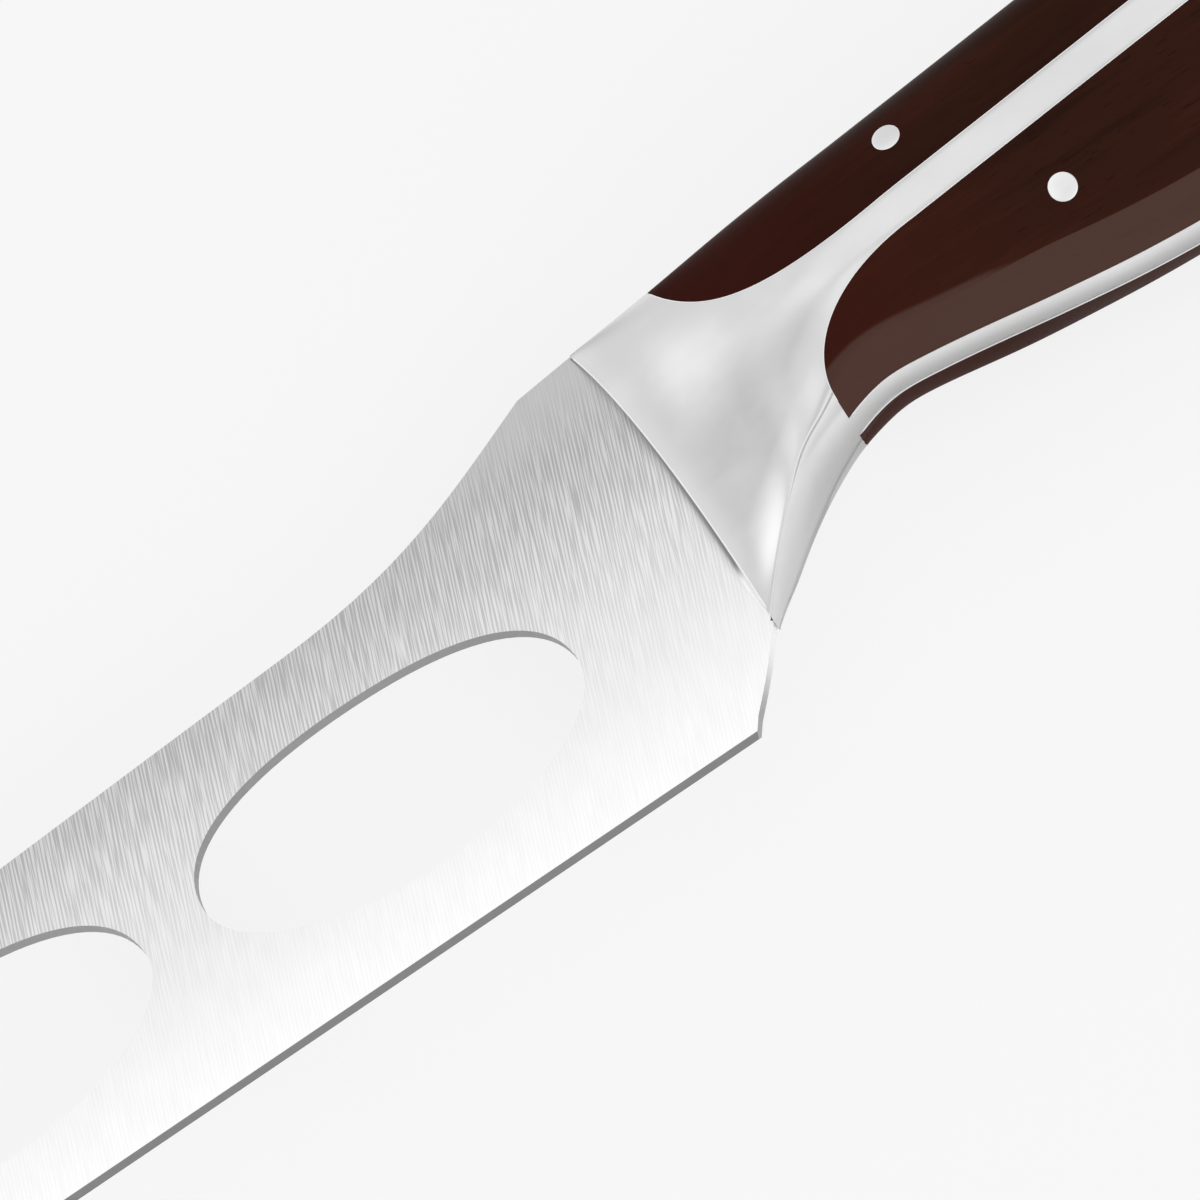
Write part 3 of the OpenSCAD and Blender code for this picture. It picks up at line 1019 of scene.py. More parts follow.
def wood_group() -> Group:
    """Long dense grain of a dark hardwood: colour streaks, pores and their depth.

    Returns:
        The group.
    """
    group = Group(
        "dark_wood_grain",
        {
            "Vector": ("NodeSocketVector", None),
            "Dark": ("NodeSocketColor", (0.02, 0.01, 0.007, 1)),
            "Mid": ("NodeSocketColor", (0.03, 0.013, 0.009, 1)),
            "Light": ("NodeSocketColor", (0.05, 0.02, 0.014, 1)),
        },
        {"Colour": "NodeSocketColor", "Pores": "NodeSocketFloat", "Grain": "NodeSocketFloat"},
    )
    bend_fine, bend_gain = (0.02, 0.08, 0.08), (2.0, 3.0, 3.0)
    streak_fine, streak_share = (0.05, 0.9, 0.9), 0.55
    broad_fine, broad_share = (0.03, 0.16, 0.16), 0.45
    pore_fine, pore_range, pore_share = (0.5, 6.5, 6.5), (0.63, 0.74), 0.55
    mid_range, light_range, pore_colour = (0.34, 0.5), (0.5, 0.68), (0.004, 0.002, 0.0015)
    n, entry = group.nodes, group.entry
    place = n.vector("MULTIPLY", entry["Vector"], (1 / MM,) * 3)
    bend = n.vector("MULTIPLY", n.noise(place, bend_fine, 2.0, out=1), bend_gain)
    place = n.vector("ADD", place, bend)
    streak = n.noise(place, streak_fine, 5.0, 0.65)
    broad = n.noise(place, broad_fine, 3.0)
    tone = n.math("ADD", n.times(streak, streak_share), n.times(broad, broad_share))
    colour = n.mix(n.span(tone, mid_range), entry["Dark"], entry["Mid"])
    colour = n.mix(n.span(tone, light_range), colour, entry["Light"])
    pores = n.span(n.noise(place, pore_fine, 2.0), pore_range)
    group.give("Colour", n.mix(n.times(pores, pore_share), colour, pore_colour))
    group.give("Pores", pores)
    group.give("Grain", streak)
    return group


class Material:
    """A material with its shader and its own nodes."""

    def __init__(self, name: str, settings: dict[str, object]) -> None:
        """Makes the material.

        Args:
            name: Name of the material.
            settings: Constants for the sockets of its shader.
        """
        self.data = bpy.data.materials.new(name)
        self.data.use_nodes = True
        self.nodes = Nodes(self.data.node_tree)
        self.shader = self.data.node_tree.nodes["Principled BSDF"]
        for label, value in settings.items():
            self.shader.inputs[label].default_value = value
        self.place = self.nodes.add("ShaderNodeTexCoord").outputs["Object"]

    def feed(self, label: str, value: Socket) -> None:
        """Joins a value to one of the shader's sockets."""
        self.data.node_tree.links.new(value, self.shader.inputs[label])

    def bump(self, height: Socket, strength: float, depth: float) -> None:
        """Raises the surface by a height that changes over it.

        Args:
            height: The height, from 0 to 1.
            strength: How strong the effect is.
            depth: Depth of the relief in millimetres.
        """
        inputs = {"Strength": strength, "Distance": depth * MM, "Height": height}
        self.feed("Normal", self.nodes.add("ShaderNodeBump", inputs).outputs[0])


@dataclass(frozen=True)
class BrushedSteel:
    """Brushed plate: lines slant from the spine to the edge, and its brightness rising towards the
    edge is a painted reflection.

    Heights are shares of the heel's height. The painted light, near white on the blade's wall where
    it meets the bolster, is placed in millimetres from the heel.
    """

    name: str = "brushed_blade_steel"
    lean: float = 18.9
    lines_per_mm: float = 6.3
    line_mm: float = 3.4
    # Painted reflection: greys by height, bright at the edge and darker towards the spine.
    painted_reflection_levels: Rows = (
        (0.02, 251), (0.12, 247), (0.27, 238), (0.43, 227),
        (0.58, 215), (0.74, 196), (0.84, 188), (0.98, 191),
    )
    # The streaks' contrast is weakest near the edge, where the painted reflection is brightest, and
    # fades again at the spine.
    low_streaks: tuple[Range, Range] = ((0.2, 0.75), (0.04, 0.4))
    high_streaks: tuple[Range, Range] = ((0.8, 0.99), (1.0, 0.15))
    # Painted shade along the joint with the bolster, read from an attribute of the groove.
    shade_name: str = "root_shade"
    root_shade: float = 0.34
    face_tilt: Range = (0.75, 0.95)
    bevel_tilt: Range = (0.2, 0.45)
    # The walls are duller steel, and their greys by tilt also hold painted shade: the darker
    # reflections of faces turned away.
    wall_level: float = 160.0
    edge_level: float = 140.0
    # Painted light: near white on the wall by the bolster, a painted reflection.
    wall_painted_light_level: float = 250.0
    painted_light_front: Range = (-1.0, 0.0)
    painted_light_low: Range = (1.5, 6.5)
    painted_light_high: Range = (14.0, 12.0)
    roughness: float = 0.34
    patchiness: float = 0.05
    relief: float = 4.0

    def build(self, groups: "Groups", placing: Placing, blade: BladeSizes) -> bpy.types.Material:
        """Builds the material.

        Args:
            groups: The shared node groups.
            placing: Where the knife stands.
            blade: Sizes of the blade.

        Returns:
            The material.
        """
        made = Material(self.name, {"Metallic": 1.0, "Roughness": self.roughness})
        n, (heel_x, heel_y, _) = made.nodes, placing.heel()
        parts = n.split(made.place)
        height = n.math("DIVIDE", n.math("SUBTRACT", parts[1], heel_y), blade.heel_h * MM)
        # Painted reflection: a ramp of greys by height over the blade's face.
        base = n.ramp(height, [(place, grey(level)) for place, level in self.painted_reflection_levels])
        brush = groups.brush.place(
            n,
            {
                "Vector": made.place,
                "Lean": (0, 0, math.radians(self.lean)),
                "Lines per mm": self.lines_per_mm,
                "Length mm": self.line_mm,
            },
        )
        lines = brush.outputs["Lines"]
        deep = n.times(n.span(height, *self.low_streaks), n.span(height, *self.high_streaks))
        tone = n.math("ADD", n.times(n.math("SUBTRACT", lines, 0.5), deep), 1.0)
        # Painted shade darkens the blade's colour beside the joint.
        root = n.add("ShaderNodeAttribute", attribute_name=self.shade_name).outputs["Fac"]
        tone = n.times(tone, n.rest(n.times(root, self.root_shade)))
        tall = n.math("ABSOLUTE", n.normal()[2])
        flat = n.span(tall, self.face_tilt)
        # Painted light: where the wall nears the bolster it turns near white.
        run = n.times(
            n.span(parts[1], in_metres(heel_y, self.painted_light_low)),
            n.span(parts[0], in_metres(heel_x, self.painted_light_front)),
            n.span(parts[1], in_metres(heel_y, self.painted_light_high)),
        )
        # Painted shade on walls and bevel, darker where the face tilts more, on top of their duller
        # steel.
        wall = n.mix(n.span(tall, self.bevel_tilt), grey(self.wall_level), grey(self.edge_level))
        wall = n.mix(run, wall, grey(self.wall_painted_light_level))
        made.feed("Base Color", n.mix(flat, wall, n.scaled(base, tone)))
        uneven = n.times(brush.outputs["Patches"], self.patchiness)
        made.feed("Roughness", n.math("ADD", uneven, self.roughness - self.patchiness / 2))
        made.bump(n.times(lines, flat, n.times(deep, self.relief)), strength=0.25, depth=0.02)
        return made.data


@dataclass(frozen=True)
class PolishedSteel:
    """Polished steel with faint marks of polishing and handling, and painted shade on its
    underside, set by the way the surface faces.
    """

    name: str
    level: float = 219.0
    level_spread: Range = (-6.0, 2.0)
    roughness: float = 0.18
    haze: float = 0.06
    marks_per_mm: float = 1.3
    # Painted shade: how far the surface faces down and to the side sets how much its colour
    # darkens.
    under_tilt: Range = (0.55, 0.85)
    side_tilt: Range = (-0.35, 0.4)
    painted_under_shade: Range = (0.34, -0.06)

    def build(self, groups: "Groups") -> bpy.types.Material:
        """Builds the material from the shared node groups.

        Args:
            groups: The shared node groups.

        Returns:
            The material.
        """
        made = Material(self.name, {"Metallic": 1.0, "Roughness": self.roughness})
        n = made.nodes
        inputs = {"Vector": made.place, "Marks per mm": self.marks_per_mm}
        marks = groups.smudge.place(n, inputs).outputs
        plain = n.mix(marks["Haze"], *(grey(self.level + step) for step in self.level_spread))
        lean = n.normal()
        # Painted shade on the underside, by the surface's normal.
        under = n.span(n.times(lean[1], -1.0), self.under_tilt)
        shade = n.times(under, n.span(lean[2], self.side_tilt, self.painted_under_shade))
        made.feed("Base Color", n.scaled(plain, n.rest(shade)))
        made.feed("Roughness", n.math("ADD", n.times(marks["Haze"], self.haze), self.roughness))
        made.bump(marks["Scratches"], strength=0.05, depth=0.004)
        return made.data


@dataclass(frozen=True)
class DarkWood:
    """Oiled dark hardwood, reddish at the fronts of the scales, with a paler band of painted sheen.

    The band of painted sheen starts at a drawn line near the front, in millimetres from the heel,
    and further back where the surface turns down.
    """

    name: str = "dark_oiled_wood"
    dark: Colour = shade_of(36, 18, 13)
    mid: Colour = shade_of(43, 22, 15)
    light: Colour = shade_of(52, 26, 18)
    red: Colour = shade_of(52, 18, 13)
    # Painted sheen: the paler colour of the band where the wood turns down.
    painted_sheen: Colour = shade_of(74, 56, 51)
    gloss: float = 0.012
    roughness: float = 0.38
    grain_rough: float = 0.16
    pore_rough: float = 0.2
    grain_relief: float = 0.3
    red_start: float = 0.1
    red_run: float = 0.26
    red_share: float = 0.75
    band_run: float = 40.0
    band_line: Rows = ((18, 20.3), (24, 22.1), (30, 21.1), (36, 19.9), (40, 18.9))
    band_edge: Range = (0.2, -0.2)
    band_end: Range = (34.0, 40.0)
    painted_sheen_share: float = 0.55
    band_tilt: Range = (0.44, 0.62)
    sole_tilt: Range = (0.62, 0.76)
    sole_side: Range = (0.0, -0.5)

    def build(self, groups: "Groups", placing: Placing, grip: GripSizes) -> bpy.types.Material:
        """Builds the material.

        Args:
            groups: The shared node groups.
            placing: Where the knife stands.
            grip: Sizes of the grip.

        Returns:
            The material.
        """
        made = Material(self.name, {"Roughness": self.roughness, "Specular IOR Level": self.gloss})
        n, (heel_x, heel_y, middle) = made.nodes, placing.heel()
        colours = {"Dark": (*self.dark, 1), "Mid": (*self.mid, 1), "Light": (*self.light, 1)}
        grain = groups.wood.place(n, {"Vector": made.place, **colours}).outputs
        spot, down = n.split(made.place), n.times(n.normal()[1], -1.0)
        reach = self.band_run * MM
        run = n.math("DIVIDE", n.math("SUBTRACT", spot[0], heel_x), reach)
        stops = [(x / self.band_run, (y / self.band_run,) * 3) for x, y in self.band_line]
        limit = n.times(n.ramp(run, stops, "B_SPLINE"), reach)
        under = n.math("SUBTRACT", n.math("SUBTRACT", spot[1], heel_y), limit)
        later = n.span(run, tuple(x / self.band_run for x in self.band_end))
        crisp = n.times(n.span(under, in_metres(0.0, self.band_edge)), n.rest(later))
        turned = n.times(n.span(down, self.band_tilt), later)
        sole = n.times(
            n.span(down, self.sole_tilt), n.span(spot[2], in_metres(middle, self.sole_side))
        )
        # Painted sheen: a paler band below a drawn line near the front, further back where the
        # surface turns down, kept off the far flank's underside.
        painted_sheen_mask = n.times(n.math("ADD", crisp, turned), self.painted_sheen_share, n.rest(sole))
        front = (self.red_start * grip.length, (self.red_start + self.red_run) * grip.length)
        red = n.span(spot[0], in_metres(heel_x, front), (self.red_share, 0.0))
        plain = n.mix(red, grain["Colour"], self.red)
        made.feed("Base Color", n.mix(painted_sheen_mask, plain, self.painted_sheen))
        rough = n.times(grain["Grain"], self.grain_rough)
        rough = n.math("ADD", rough, self.roughness - self.grain_rough / 2)
        made.feed("Roughness", n.math("ADD", rough, n.times(grain["Pores"], self.pore_rough)))
        relief = n.math("SUBTRACT", n.times(grain["Grain"], self.grain_relief), grain["Pores"])
        made.bump(relief, strength=0.3, depth=0.02)
        return made.data


@dataclass(frozen=True)
class Groups:
    """The node groups that more than one material uses."""

    brush: Group
    smudge: Group
    wood: Group


@dataclass(frozen=True)
class Finishes:
    """The finished materials."""

    blade: bpy.types.Material
    frame: bpy.types.Material
    wood: bpy.types.Material
    pin: bpy.types.Material
    lip: bpy.types.Material


@dataclass
class Knife:
    """What every sub-assembly of the knife needs."""

    placing: Placing = field(default_factory=Placing)
    form: GripForm = field(default_factory=GripForm)
    join: JoinLine = field(default_factory=JoinLine)
    over: float = 1.0

    def __post_init__(self) -> None:
        """Builds the outer form once, with its shading."""
        self.maker = MeshMaker(self.placing)
        points, faces = self.form.mesh()
        self.skin = self.maker.make("grip_skin", points, faces)
        self.skin.data.shade_smooth()
        self.cutter = Cutter(self.skin, self.form)

    def body_copy(self, name: str) -> bpy.types.Object:
        """Copies the outer form under a new name."""
        return linked(name, self.skin.data.copy())

    def remove(self, objects: Sequence[bpy.types.Object]) -> None:
        """Deletes helper objects."""
        for obj in objects:
            bpy.data.objects.remove(obj)

    def pocket(self, border: ScaleBorder, flank: Flank) -> bpy.types.Object:
        """Makes the prism of a scale's pocket.

        Args:
            border: Outline of the scale.
            flank: Which flank it lies on.

        Returns:
            The prism.
        """
        walls = (self.form.web_z, self.form.ridge_z + self.over)
        heights = sorted(wall * flank.value for wall in walls)
        return self.maker.prism("pocket", border.polygon(self.form), *heights)

    def surface_path(self, line: np.ndarray, flank: Flank, sink: float) -> np.ndarray:
        """Lays a line of x and y onto the outer form.

        Args:
            line: Rows of x and y.
            flank: Which flank it lies on.
            sink: How far it lies under the surface.

        Returns:
            Rows of x, y and z.
        """
        heights = [self.cutter.height(self.placing, x, y) - sink for x, y in line]
        return np.column_stack([line, np.array(heights) * flank.value])


@dataclass
class HandleFrame:
    """The polished frame: bolster, bands between the scales, and butt."""

    knife: Knife
    bead_r: float = 0.055
    sole_bead_r: float = 0.08
    tongue_len: float = 12.0
    tongue_h: float = 10.0
    tongue_rise_share: float = 0.68
    tongue_gap: float = 0.05
    cut_front: float = -1.0
    cut_over: float = 6.0
    lip_sink_share: float = 0.35
    sole_step: float = 0.5

    def build(self) -> bpy.types.Object:
        """Builds the frame as the smooth outer form with its pockets cut out.

        Returns:
            The frame.
        """
        knife, form = self.knife, self.knife.form
        body = knife.body_copy("handle_frame_smooth")
        line = knife.join.curve(form)
        top, start = form.back_y(0) + self.cut_over, self.cut_front
        front = np.vstack([[(start, 0), (line[0, 0], 0)], line, [(line[-1, 0], top), (start, top)]])
        reach = form.ridge_z + knife.over
        tools = [knife.maker.prism("front_cut", front, -reach, reach)]
        tools += [knife.pocket(border, flank) for border in (UPPER, LOWER) for flank in Flank]
        middle = form.blade.heel_h * self.tongue_rise_share
        low, high = middle - self.tongue_h / 2, middle + self.tongue_h / 2
        end = line[-1, 0] + self.tongue_len
        slot = [(0, low), (end, low), (end, high), (0, high)]
        half = form.blade.thickness / 2 + self.tongue_gap
        tools.append(knife.maker.prism("tongue_slot", np.array(slot), -half, half))
        knife.cutter.cut(body, tools)
        knife.cutter.shade(body)
        knife.remove(tools)
        return body

    def beads(self) -> list[bpy.types.Object]:
        """Builds the fine burnished lips round the pockets, which catch the light; their paler grey
        is partly a painted highlight.

        Returns:
            The lips.
        """
        knife, made = self.knife, []
        web_z, tube = knife.form.web_z, knife.maker.tube
        for word, border in BORDERS.items():
            line = border.curve(knife.form)
            line = np.array([p for p in line if knife.cutter.height(knife.placing, *p) > web_z])
            for flank in Flank:
                side = flank.name.lower()
                path = knife.surface_path(line, flank, self.bead_r * self.lip_sink_share)
                made.append(tube(f"{word}_lip_{side}", path, self.bead_r))
                if border is LOWER:
                    path = self.sole_path(line[0, 0], line[-1, 0], flank)
                    made.append(tube(f"sole_lip_{side}", path, self.sole_bead_r))
        return made

    def sole_path(self, start: float, stop: float, flank: Flank) -> np.ndarray:
        """Gives the edge of the band along the underside, beside a lower scale.

        Args:
            start: Distance of its front end from the heel in millimetres.
            stop: Distance of its back end.
            flank: On which side of the band it runs.

        Returns:
            Rows of x, y and z.
        """
        form = self.knife.form
        z = form.web_z - self.sole_bead_r / 2
        places = np.arange(start, stop, self.sole_step)
        return np.array([(x, form.sole_y(x, z), z * flank.value) for x in places])


@dataclass
class BladeJoin:
    """Where the blade runs into the bolster: a soft groove with painted shade along the joint, and
    the bolster's rounded front edge, bright partly by a painted highlight.
    """

    knife: Knife
    bead_r: float = 0.12
    bead_sink: float = 0.07
    bead_ahead: float = 0.08
    groove_w: float = 1.5
    groove_steps: int = 12
    groove_ends: float = 5.0
    groove_end_w: float = 0.2
    rise_least: float = 0.05
    rise_share: float = 0.9
    proud: float = 0.003
    fade_share: float = 0.25

    def bead(self, flank: Flank) -> bpy.types.Object:
        """Builds the rounded front edge of the bolster on one flank.

        Args:
            flank: Which flank it lies on.

        Returns:
            The edge.
        """
        knife = self.knife
        line = knife.join.curve(knife.form)[2:-1] + (self.bead_ahead, 0.0)
        path = knife.surface_path(line, flank, self.bead_sink)
        return knife.maker.tube(f"bolster_front_edge_{flank.name.lower()}", path, self.bead_r)

    def groove(self, flank: Flank) -> bpy.types.Object:
        """Builds the concave run of the blade's face up to the bolster on one flank.

        Args:
            flank: Which flank it lies on.

        Returns:
            The run, whose painted shade along the joint is an attribute of its points.
        """
        knife = self.knife
        line = knife.join.curve(knife.form)[1:-1]
        along = np.gradient(line, axis=0)
        along /= np.linalg.norm(along, axis=1)[:, None]
        ahead = np.column_stack([-along[:, 1], along[:, 0]])
        base = knife.form.blade.thickness / 2
        rows, normals, steps = [], [], self.groove_steps
        for k, (x, y) in enumerate(line):
            rise = max(knife.cutter.height(knife.placing, x, y) - base, self.rise_least)
            rise *= self.rise_share
            near_end = self.groove_ends * min(k / len(line), 1 - k / len(line))
            wide = self.groove_w * max(min(1.0, near_end), self.groove_end_w)
            for t in np.linspace(0, 1, steps + 1):
                spot = np.array([x, y]) + ahead[k] * wide * t
                rows.append((*spot, (base + rise * (1 - t) ** 3 + self.proud) * flank.value))
                slope = 3 * rise * (1 - t) ** 2 / wide
                normals.append(Vector((*(ahead[k] * slope), flank.value)).normalized())
            rows.append((x, y, base * 0.5 * flank.value))
            normals.append(Vector((*-ahead[k], 0.0)))
        faces = ring_faces(len(line), steps + 2)
        if flank is Flank.NEAR:
            faces = [face[::-1] for face in faces]
        obj = knife.maker.make(f"blade_root_{flank.name.lower()}", np.array(rows), faces)
        obj.data.shade_smooth()
        obj.data.normals_split_custom_set_from_vertices(normals)
        # Painted shade: strongest at the joint, fading across the groove and towards its lower end.
        shade = obj.data.attributes.new(BrushedSteel.shade_name, "FLOAT", "POINT")
        across = [(1 - t) ** 2 for t in (*np.linspace(0, 1, steps + 1), 0)]
        fades = np.minimum(np.arange(len(line)) / (self.fade_share * len(line)), 1.0)
        shade.data.foreach_set("value", [v * fade for fade in fades for v in across])
        return obj


@dataclass
class Scales:
    """The four wooden scales."""

    knife: Knife

    def build(self, border: ScaleBorder, flank: Flank, name: str) -> bpy.types.Object:
        """Builds one scale as what the pocket leaves of the outer form.

        Args:
            border: Outline of the scale.
            flank: Which flank it lies on.
            name: Name of the object.

        Returns:
            The scale.
        """
        knife = self.knife
        body = knife.body_copy(name)
        tool = knife.pocket(border, flank)
        knife.cutter.cut(body, [tool], keep_inside=True)
        knife.cutter.shade(body)
        knife.remove([tool])
        return body


@dataclass
class Pins:
    """The straight pins through the grip, with softly domed ends."""

    knife: Knife
    upper_x: float = 35.4
    upper_rise: float = 6.3
    upper_end: float = 23.6
    lower_x: float = 44.8
    lower_drop: float = 7.2
    lower_end: float = 20.2
    dome_h: float = 0.1
    dome_shares: Range = (0.001, 0.86)
    rim: Rows = ((0.94, 0.012), (0.98, -0.02), (1.0, -0.07), (1.0, -0.5))
    rings: int = 8
    sides: int = 64
    count: int = 3

    def places(self, above: bool) -> list[tuple[float, float]]:
        """Gives the pins' places as x and y.

        Args:
            above: Whether they are the upper pins.

        Returns:
            Pairs of x and y.
        """
        form = self.knife.form
        first = self.upper_x if above else self.lower_x
        last = form.sizes.length - (self.upper_end if above else self.lower_end)
        off = self.upper_rise if above else -self.lower_drop
        return [(x, form.ridge_y(x) + off) for x in np.linspace(first, last, self.count)]

    def build(self, above: bool, number: int) -> bpy.types.Object:
        """Builds one pin.

        Args:
            above: Whether it is an upper pin.
            number: Which one, from 0.

        Returns:
            The pin.
        """
        knife, form = self.knife, self.knife.form
        radius = form.sizes.pin_d / 2
        x0, y0 = self.places(above)[number]
        dome = [(s, (1 - s**2) * self.dome_h) for s in np.linspace(*self.dome_shares, self.rings)]
        profile = [*dome, *self.rim]
        turn = np.linspace(0, 2 * math.pi, self.sides, endpoint=False)
        tilt = math.tan(math.radians(form.sizes.ridge_tilt))
        rings = []
        for sign, rows in ((1, profile), (-1, profile[::-1])):
            for share, rise in rows:
                x = x0 + radius * share * np.cos(turn)
                y = y0 + radius * share * np.sin(turn)
                away = np.abs(y - y0 + (y0 - form.ridge_y(x0)) - (x - x0) * tilt)
                z = form.ridge_z - (away - form.flat_h) * form.fall + rise
                rings.append(np.column_stack([x, y, z * sign]))
        faces = [face[::-1] for face in ring_faces(len(rings), self.sides)]
        faces.append(list(range(self.sides)))
        last = (len(rings) - 1) * self.sides
        faces.append([last + k for k in range(self.sides - 1, -1, -1)])
        word = "upper" if above else "lower"
        obj = knife.maker.make(f"{word}_pin_{number + 1}_domed", np.vstack(rings), faces)
        obj.data.shade_smooth()
        return obj


@dataclass(frozen=True)
class Patch:
    """A soft patch of light or shade in the surround, spread in degrees round a direction."""

    toward: Colour
    spread: float
    gain: float

    def level(self, n: Nodes, toward: Socket) -> Socket:
        """Gives how much the patch adds in a direction.

        Args:
            n: Nodes of the surround.
            toward: The direction.

        Returns:
            What it adds to the surround's level.
        """
        inputs = {0: toward, 1: tuple(Vector(self.toward).normalized())}
        near = n.add("ShaderNodeVectorMath", inputs, operation="DOT_PRODUCT").outputs["Value"]
        return n.span(near, (math.cos(math.radians(self.spread)), 1.0), (0.0, self.gain))


@dataclass(frozen=True)
class Studio:
    """Floor, light and camera of the photograph.

    The surround's patches give the polished steel what it reflects. They follow the reflections
    in the photograph and aren't measurements of a real studio: the first, second and fourth are
    the rounded result of a least-squares fit, and the others were set by trial.
    """

    placing: Placing
    tilt: float = 29.0
    right_share: float = 0.8284
    down_share: float = -0.5601
    view_x: float = -4.295
    view_y: float = 18.276
    view_z: float = 0.65
    frame_w: float = 96.0
    lens: float = 800.0
    sensor: float = 36.0
    clip: Range = (0.01, 50.0)
    backdrop: float = 245.0
    floor_reach: float = 4.0
    floor_z: float = -0.00005
    floor_seen: float = 0.9
    floor_mirrored: float = 0.25
    surround: float = 0.97
    patches: tuple[Patch, ...] = (
        Patch((-0.71, 0.30, 0.64), 15.5, -0.32),
        Patch((-0.52, 0.27, 0.81), 12.5, -0.4),
        Patch((-0.68, 0.60, 0.42), 11.5, 0.8),
        Patch((-0.46, 0.35, 0.82), 12.5, 0.34),
        Patch((0.0, 0.48, 0.87), 26.0, 0.12),
        Patch((0.0, -0.97, 0.25), 75.0, -0.4),
        Patch((0.25, -0.6, 0.76), 30.0, 0.5),
        Patch((-0.2, -0.02, 0.98), 11.0, 0.3),
        Patch((0.05, -0.05, 1.0), 22.0, -0.12),
        Patch((0.15, 0.9, 0.4), 34.0, -0.22),
        Patch((0.95, 0.1, 0.3), 50.0, -0.35),
    )

    def axes(self) -> tuple[Vector, Vector, Vector]:
        """Gives the camera's right, up and back directions.

        Returns:
            The three directions.
        """
        tilt = math.radians(self.tilt)
        back = Vector((0, -math.sin(tilt), math.cos(tilt)))
        rise = Vector((0, math.cos(tilt), math.sin(tilt)))
        right = Vector((1, 0, 0)) * self.right_share + rise * self.down_share
        return right.normalized(), back.cross(right).normalized(), back

    def camera(self) -> bpy.types.Object:
        """Places the camera at the photograph's angle.

        Returns:
            The camera.
        """
        data = bpy.data.cameras.new("photo_camera")
        data.lens, data.sensor_width = self.lens, self.sensor
        obj = linked("photo_camera", data)
        target = Vector(self.placing.points(np.array([self.view_x, self.view_y, self.view_z])))
        right, up, back = self.axes()
        away = self.frame_w * MM * self.lens / self.sensor
        turn = Matrix((right, up, back)).transposed().to_4x4()
        obj.matrix_world = Matrix.Translation(target + back * away) @ turn
        data.clip_start, data.clip_end = self.clip
        bpy.context.scene.camera = obj
        return obj

    def floor(self) -> bpy.types.Object:
        """Makes the pale floor, which keeps a faint shadow and is open from below.

        Returns:
            The floor.
        """
        mesh = bpy.data.meshes.new("studio_floor")
        low, high, z = -self.floor_reach, self.floor_reach, self.floor_z
        corners = [(low, low, z), (high, low, z), (high, high, z), (low, high, z)]
        mesh.from_pydata(corners, [], [(0, 1, 2, 3)])
        obj = linked("studio_floor", mesh)
        data =bpy.data.materials.new("pale_floor")
        data.use_nodes = True
        tree = data.node_tree
        tree.nodes.clear()
        n = Nodes(tree)
        pale = grey(self.backdrop)
        matte = n.add("ShaderNodeBsdfDiffuse", {"Color": (*pale, 1)}).outputs[0]
        glow = n.add("ShaderNodeEmission", {"Color": (*pale, 1), "Strength": 1.0}).outputs[0]
        path = n.add("ShaderNodeLightPath").outputs
        mirrored = n.times(path["Is Glossy Ray"], self.floor_mirrored)
        seen = n.times(n.math("MAXIMUM", path["Is Camera Ray"], mirrored), self.floor_seen)
        shown = n.add("ShaderNodeMixShader", {0: seen, 1: matte, 2: glow}).outputs[0]
        clear = n.add("ShaderNodeBsdfTransparent").outputs[0]
        behind = n.add("ShaderNodeNewGeometry").outputs["Backfacing"]
        whole = n.add("ShaderNodeMixShader", {0: behind, 1: shown, 2: clear}).outputs[0]
        n.add("ShaderNodeOutputMaterial", {0: whole})
        mesh.materials.append(data)
        return obj

    def world(self) -> None:
        """Sets the soft surround: pale to the camera, and shaded softly for the metal."""
        world = bpy.data.worlds.new("studio_surround")
        bpy.context.scene.world = world
        world.use_nodes = True
        tree = world.node_tree
        tree.nodes.clear()
        n = Nodes(tree)
        toward = n.add("ShaderNodeTexCoord").outputs["Generated"]
        level: float | Socket = self.surround
        for patch in self.patches:
            level = n.math("ADD", level, patch.level(n, toward))
        light = n.add("ShaderNodeBackground", {"Color": (1, 1, 1, 1), "Strength": level}).outputs[0]
        backdrop = {"Color": (*grey(self.backdrop), 1), "Strength": 1.0}
        pale = n.add("ShaderNodeBackground", backdrop).outputs[0]
        seen = n.add("ShaderNodeLightPath").outputs["Is Camera Ray"]
        both = n.add("ShaderNodeMixShader", {0: seen, 1: light, 2: pale}).outputs[0]
        n.add("ShaderNodeOutputWorld", {0: both})

    def softbox(self, name: str, place: Colour, wide: float, high: float, radiance: float) -> None:
        """Adds a softbox that faces the knife.

        Args:
            name: Name of the lamp.
            place: Its place in metres.
            wide: Its width in metres.
            high: Its height in metres.
            radiance: How bright its face is, where 1 is white.
        """
        data = bpy.data.lights.new(name, "AREA")
        data.shape, data.size, data.size_y = "RECTANGLE", wide, high
        data.energy = radiance * math.pi * wide * high
        obj = linked(name, data)
        obj.location = place
        obj.rotation_mode = "QUATERNION"
        obj.rotation_quaternion = (-Vector(place)).to_track_quat("-Z", "Y")
        obj.visible_glossy = False

    def build(self) -> None:
        """Builds the whole studio."""
        self.camera()
        self.floor()
        self.world()
        self.softbox("front_softbox", (0.0, -0.7, 0.36), wide=0.9, high=0.62, radiance=3.0)
        bpy.context.scene.view_settings.view_transform = "Standard"


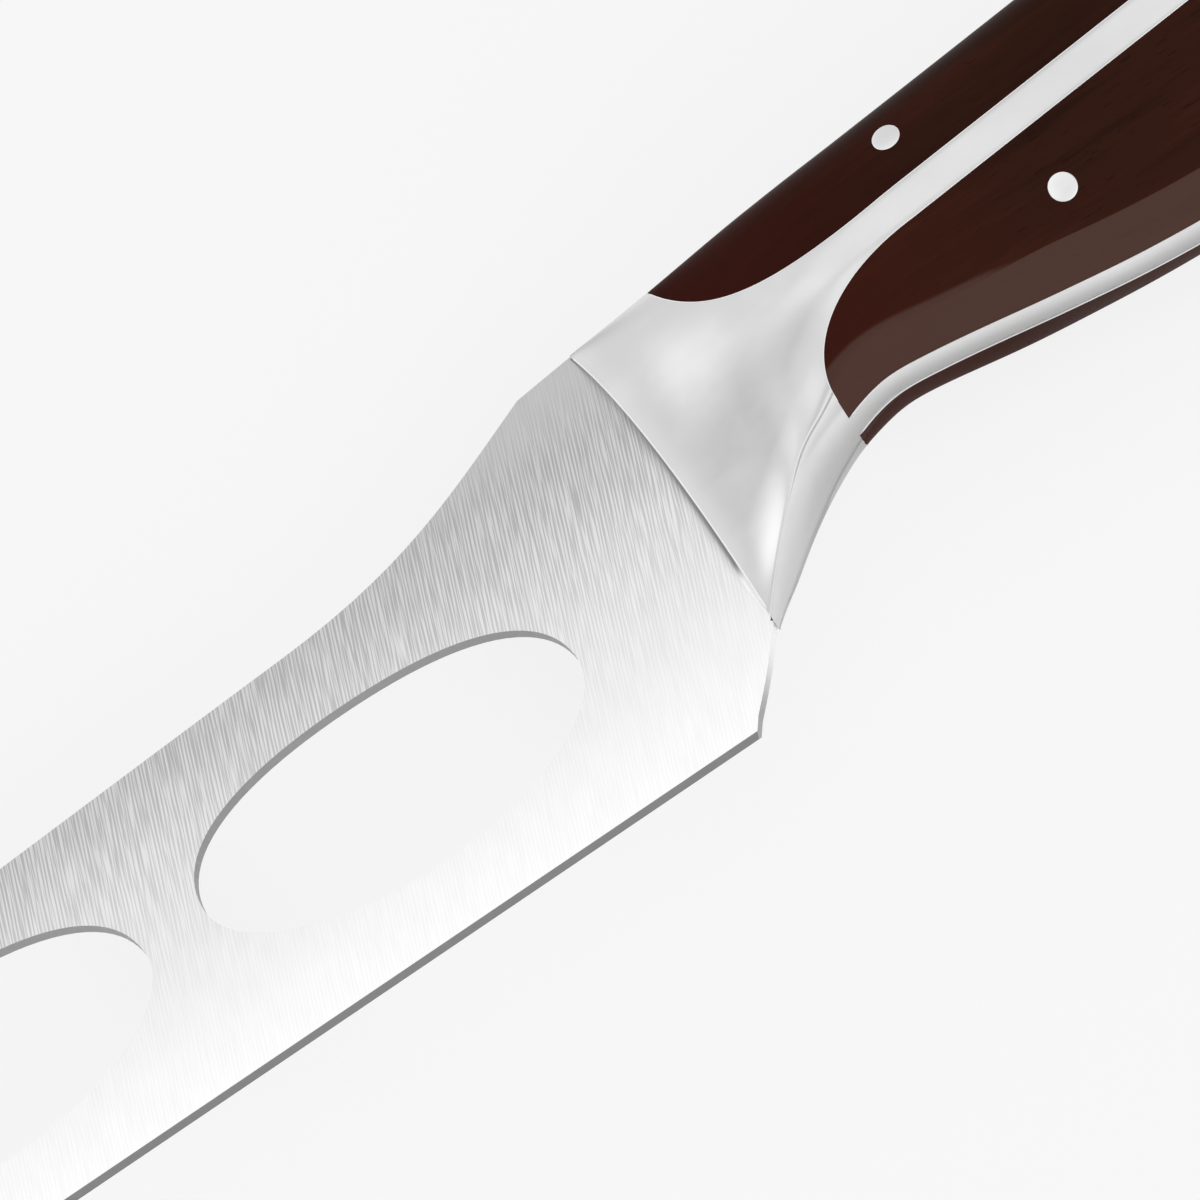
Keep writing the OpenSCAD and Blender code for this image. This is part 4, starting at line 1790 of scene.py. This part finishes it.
def dress(
    obj: bpy.types.Object,
    slot: Slot,
    materials: Sequence[bpy.types.Material],
    nodes: Sequence[str] = (),
) -> None:
    """Gives a piece its materials and its body, hides the CAD nodes that it replaces, and logs its
    size.

    Args:
        obj: The piece.
        slot: The record's material slot; not used.
        materials: Its materials, the outer one first.
        nodes: CAD nodes that it replaces.
    """
    obj.data.materials.clear()
    for material in materials:
        obj.data.materials.append(material)
    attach(obj, ROOT)
    if nodes:
        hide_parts(*nodes)
    LOG.info("piece %s: %d faces", obj.name, len(obj.data.polygons))


def make_finishes(knife: Knife) -> Finishes:
    """Builds the node groups and the materials.

    Args:
        knife: The knife, for its place and sizes.

    Returns:
        The finished materials.
    """
    groups = Groups(brush_group(), smudge_group(), wood_group())
    return Finishes(
        blade=BrushedSteel().build(groups, knife.placing, knife.form.blade),
        frame=PolishedSteel("polished_frame_steel").build(groups),
        wood=DarkWood().build(groups, knife.placing, knife.form.sizes),
        pin=PolishedSteel("satin_pin_steel", level=240.0, roughness=0.26).build(groups),
        # Burnished edges, paler than the frame partly as a painted highlight.
        lip=PolishedSteel("burnished_edge_steel", level=244.0, roughness=0.3).build(groups),
    )


def main() -> None:
    """Builds the knife and its studio."""
    logging.basicConfig(level=logging.INFO, format="%(message)s")
    knife = Knife()
    finish = make_finishes(knife)
    blade = frame["nodes"]["blade"]
    for place in blade.material_slots:
        place.material = finish.blade
    LOG.info("piece blade: CAD node with its brushed finish")

    handle = HandleFrame(knife)
    dress(handle.build(), Slot.FRAME, [finish.frame, finish.frame], ["handle_frame"])
    for bead in handle.beads():
        dress(bead, Slot.FRAME, [finish.lip])

    join = BladeJoin(knife)
    for flank in Flank:
        dress(join.bead(flank), Slot.FRAME, [finish.lip])
        dress(join.groove(flank), Slot.BLADE, [finish.blade])

    scales = Scales(knife)
    for word, border in BORDERS.items():
        for flank, side in ((Flank.NEAR, "front"), (Flank.FAR, "back")):
            node = f"{word}_scale_{side}"
            piece = scales.build(border, flank, f"{node}_grained")
            dress(piece, Slot.WOOD, [finish.wood, finish.wood], [node])

    pins = Pins(knife)
    for above in (True, False):
        for number in range(pins.count):
            node = f"{'upper' if above else 'lower'}_pin_{number + 1}"
            dress(pins.build(above, number), Slot.PIN, [finish.pin], [node])
    knife.remove([knife.skin])

    Studio(knife.placing).build()


if __name__ == "__main__":
    main()
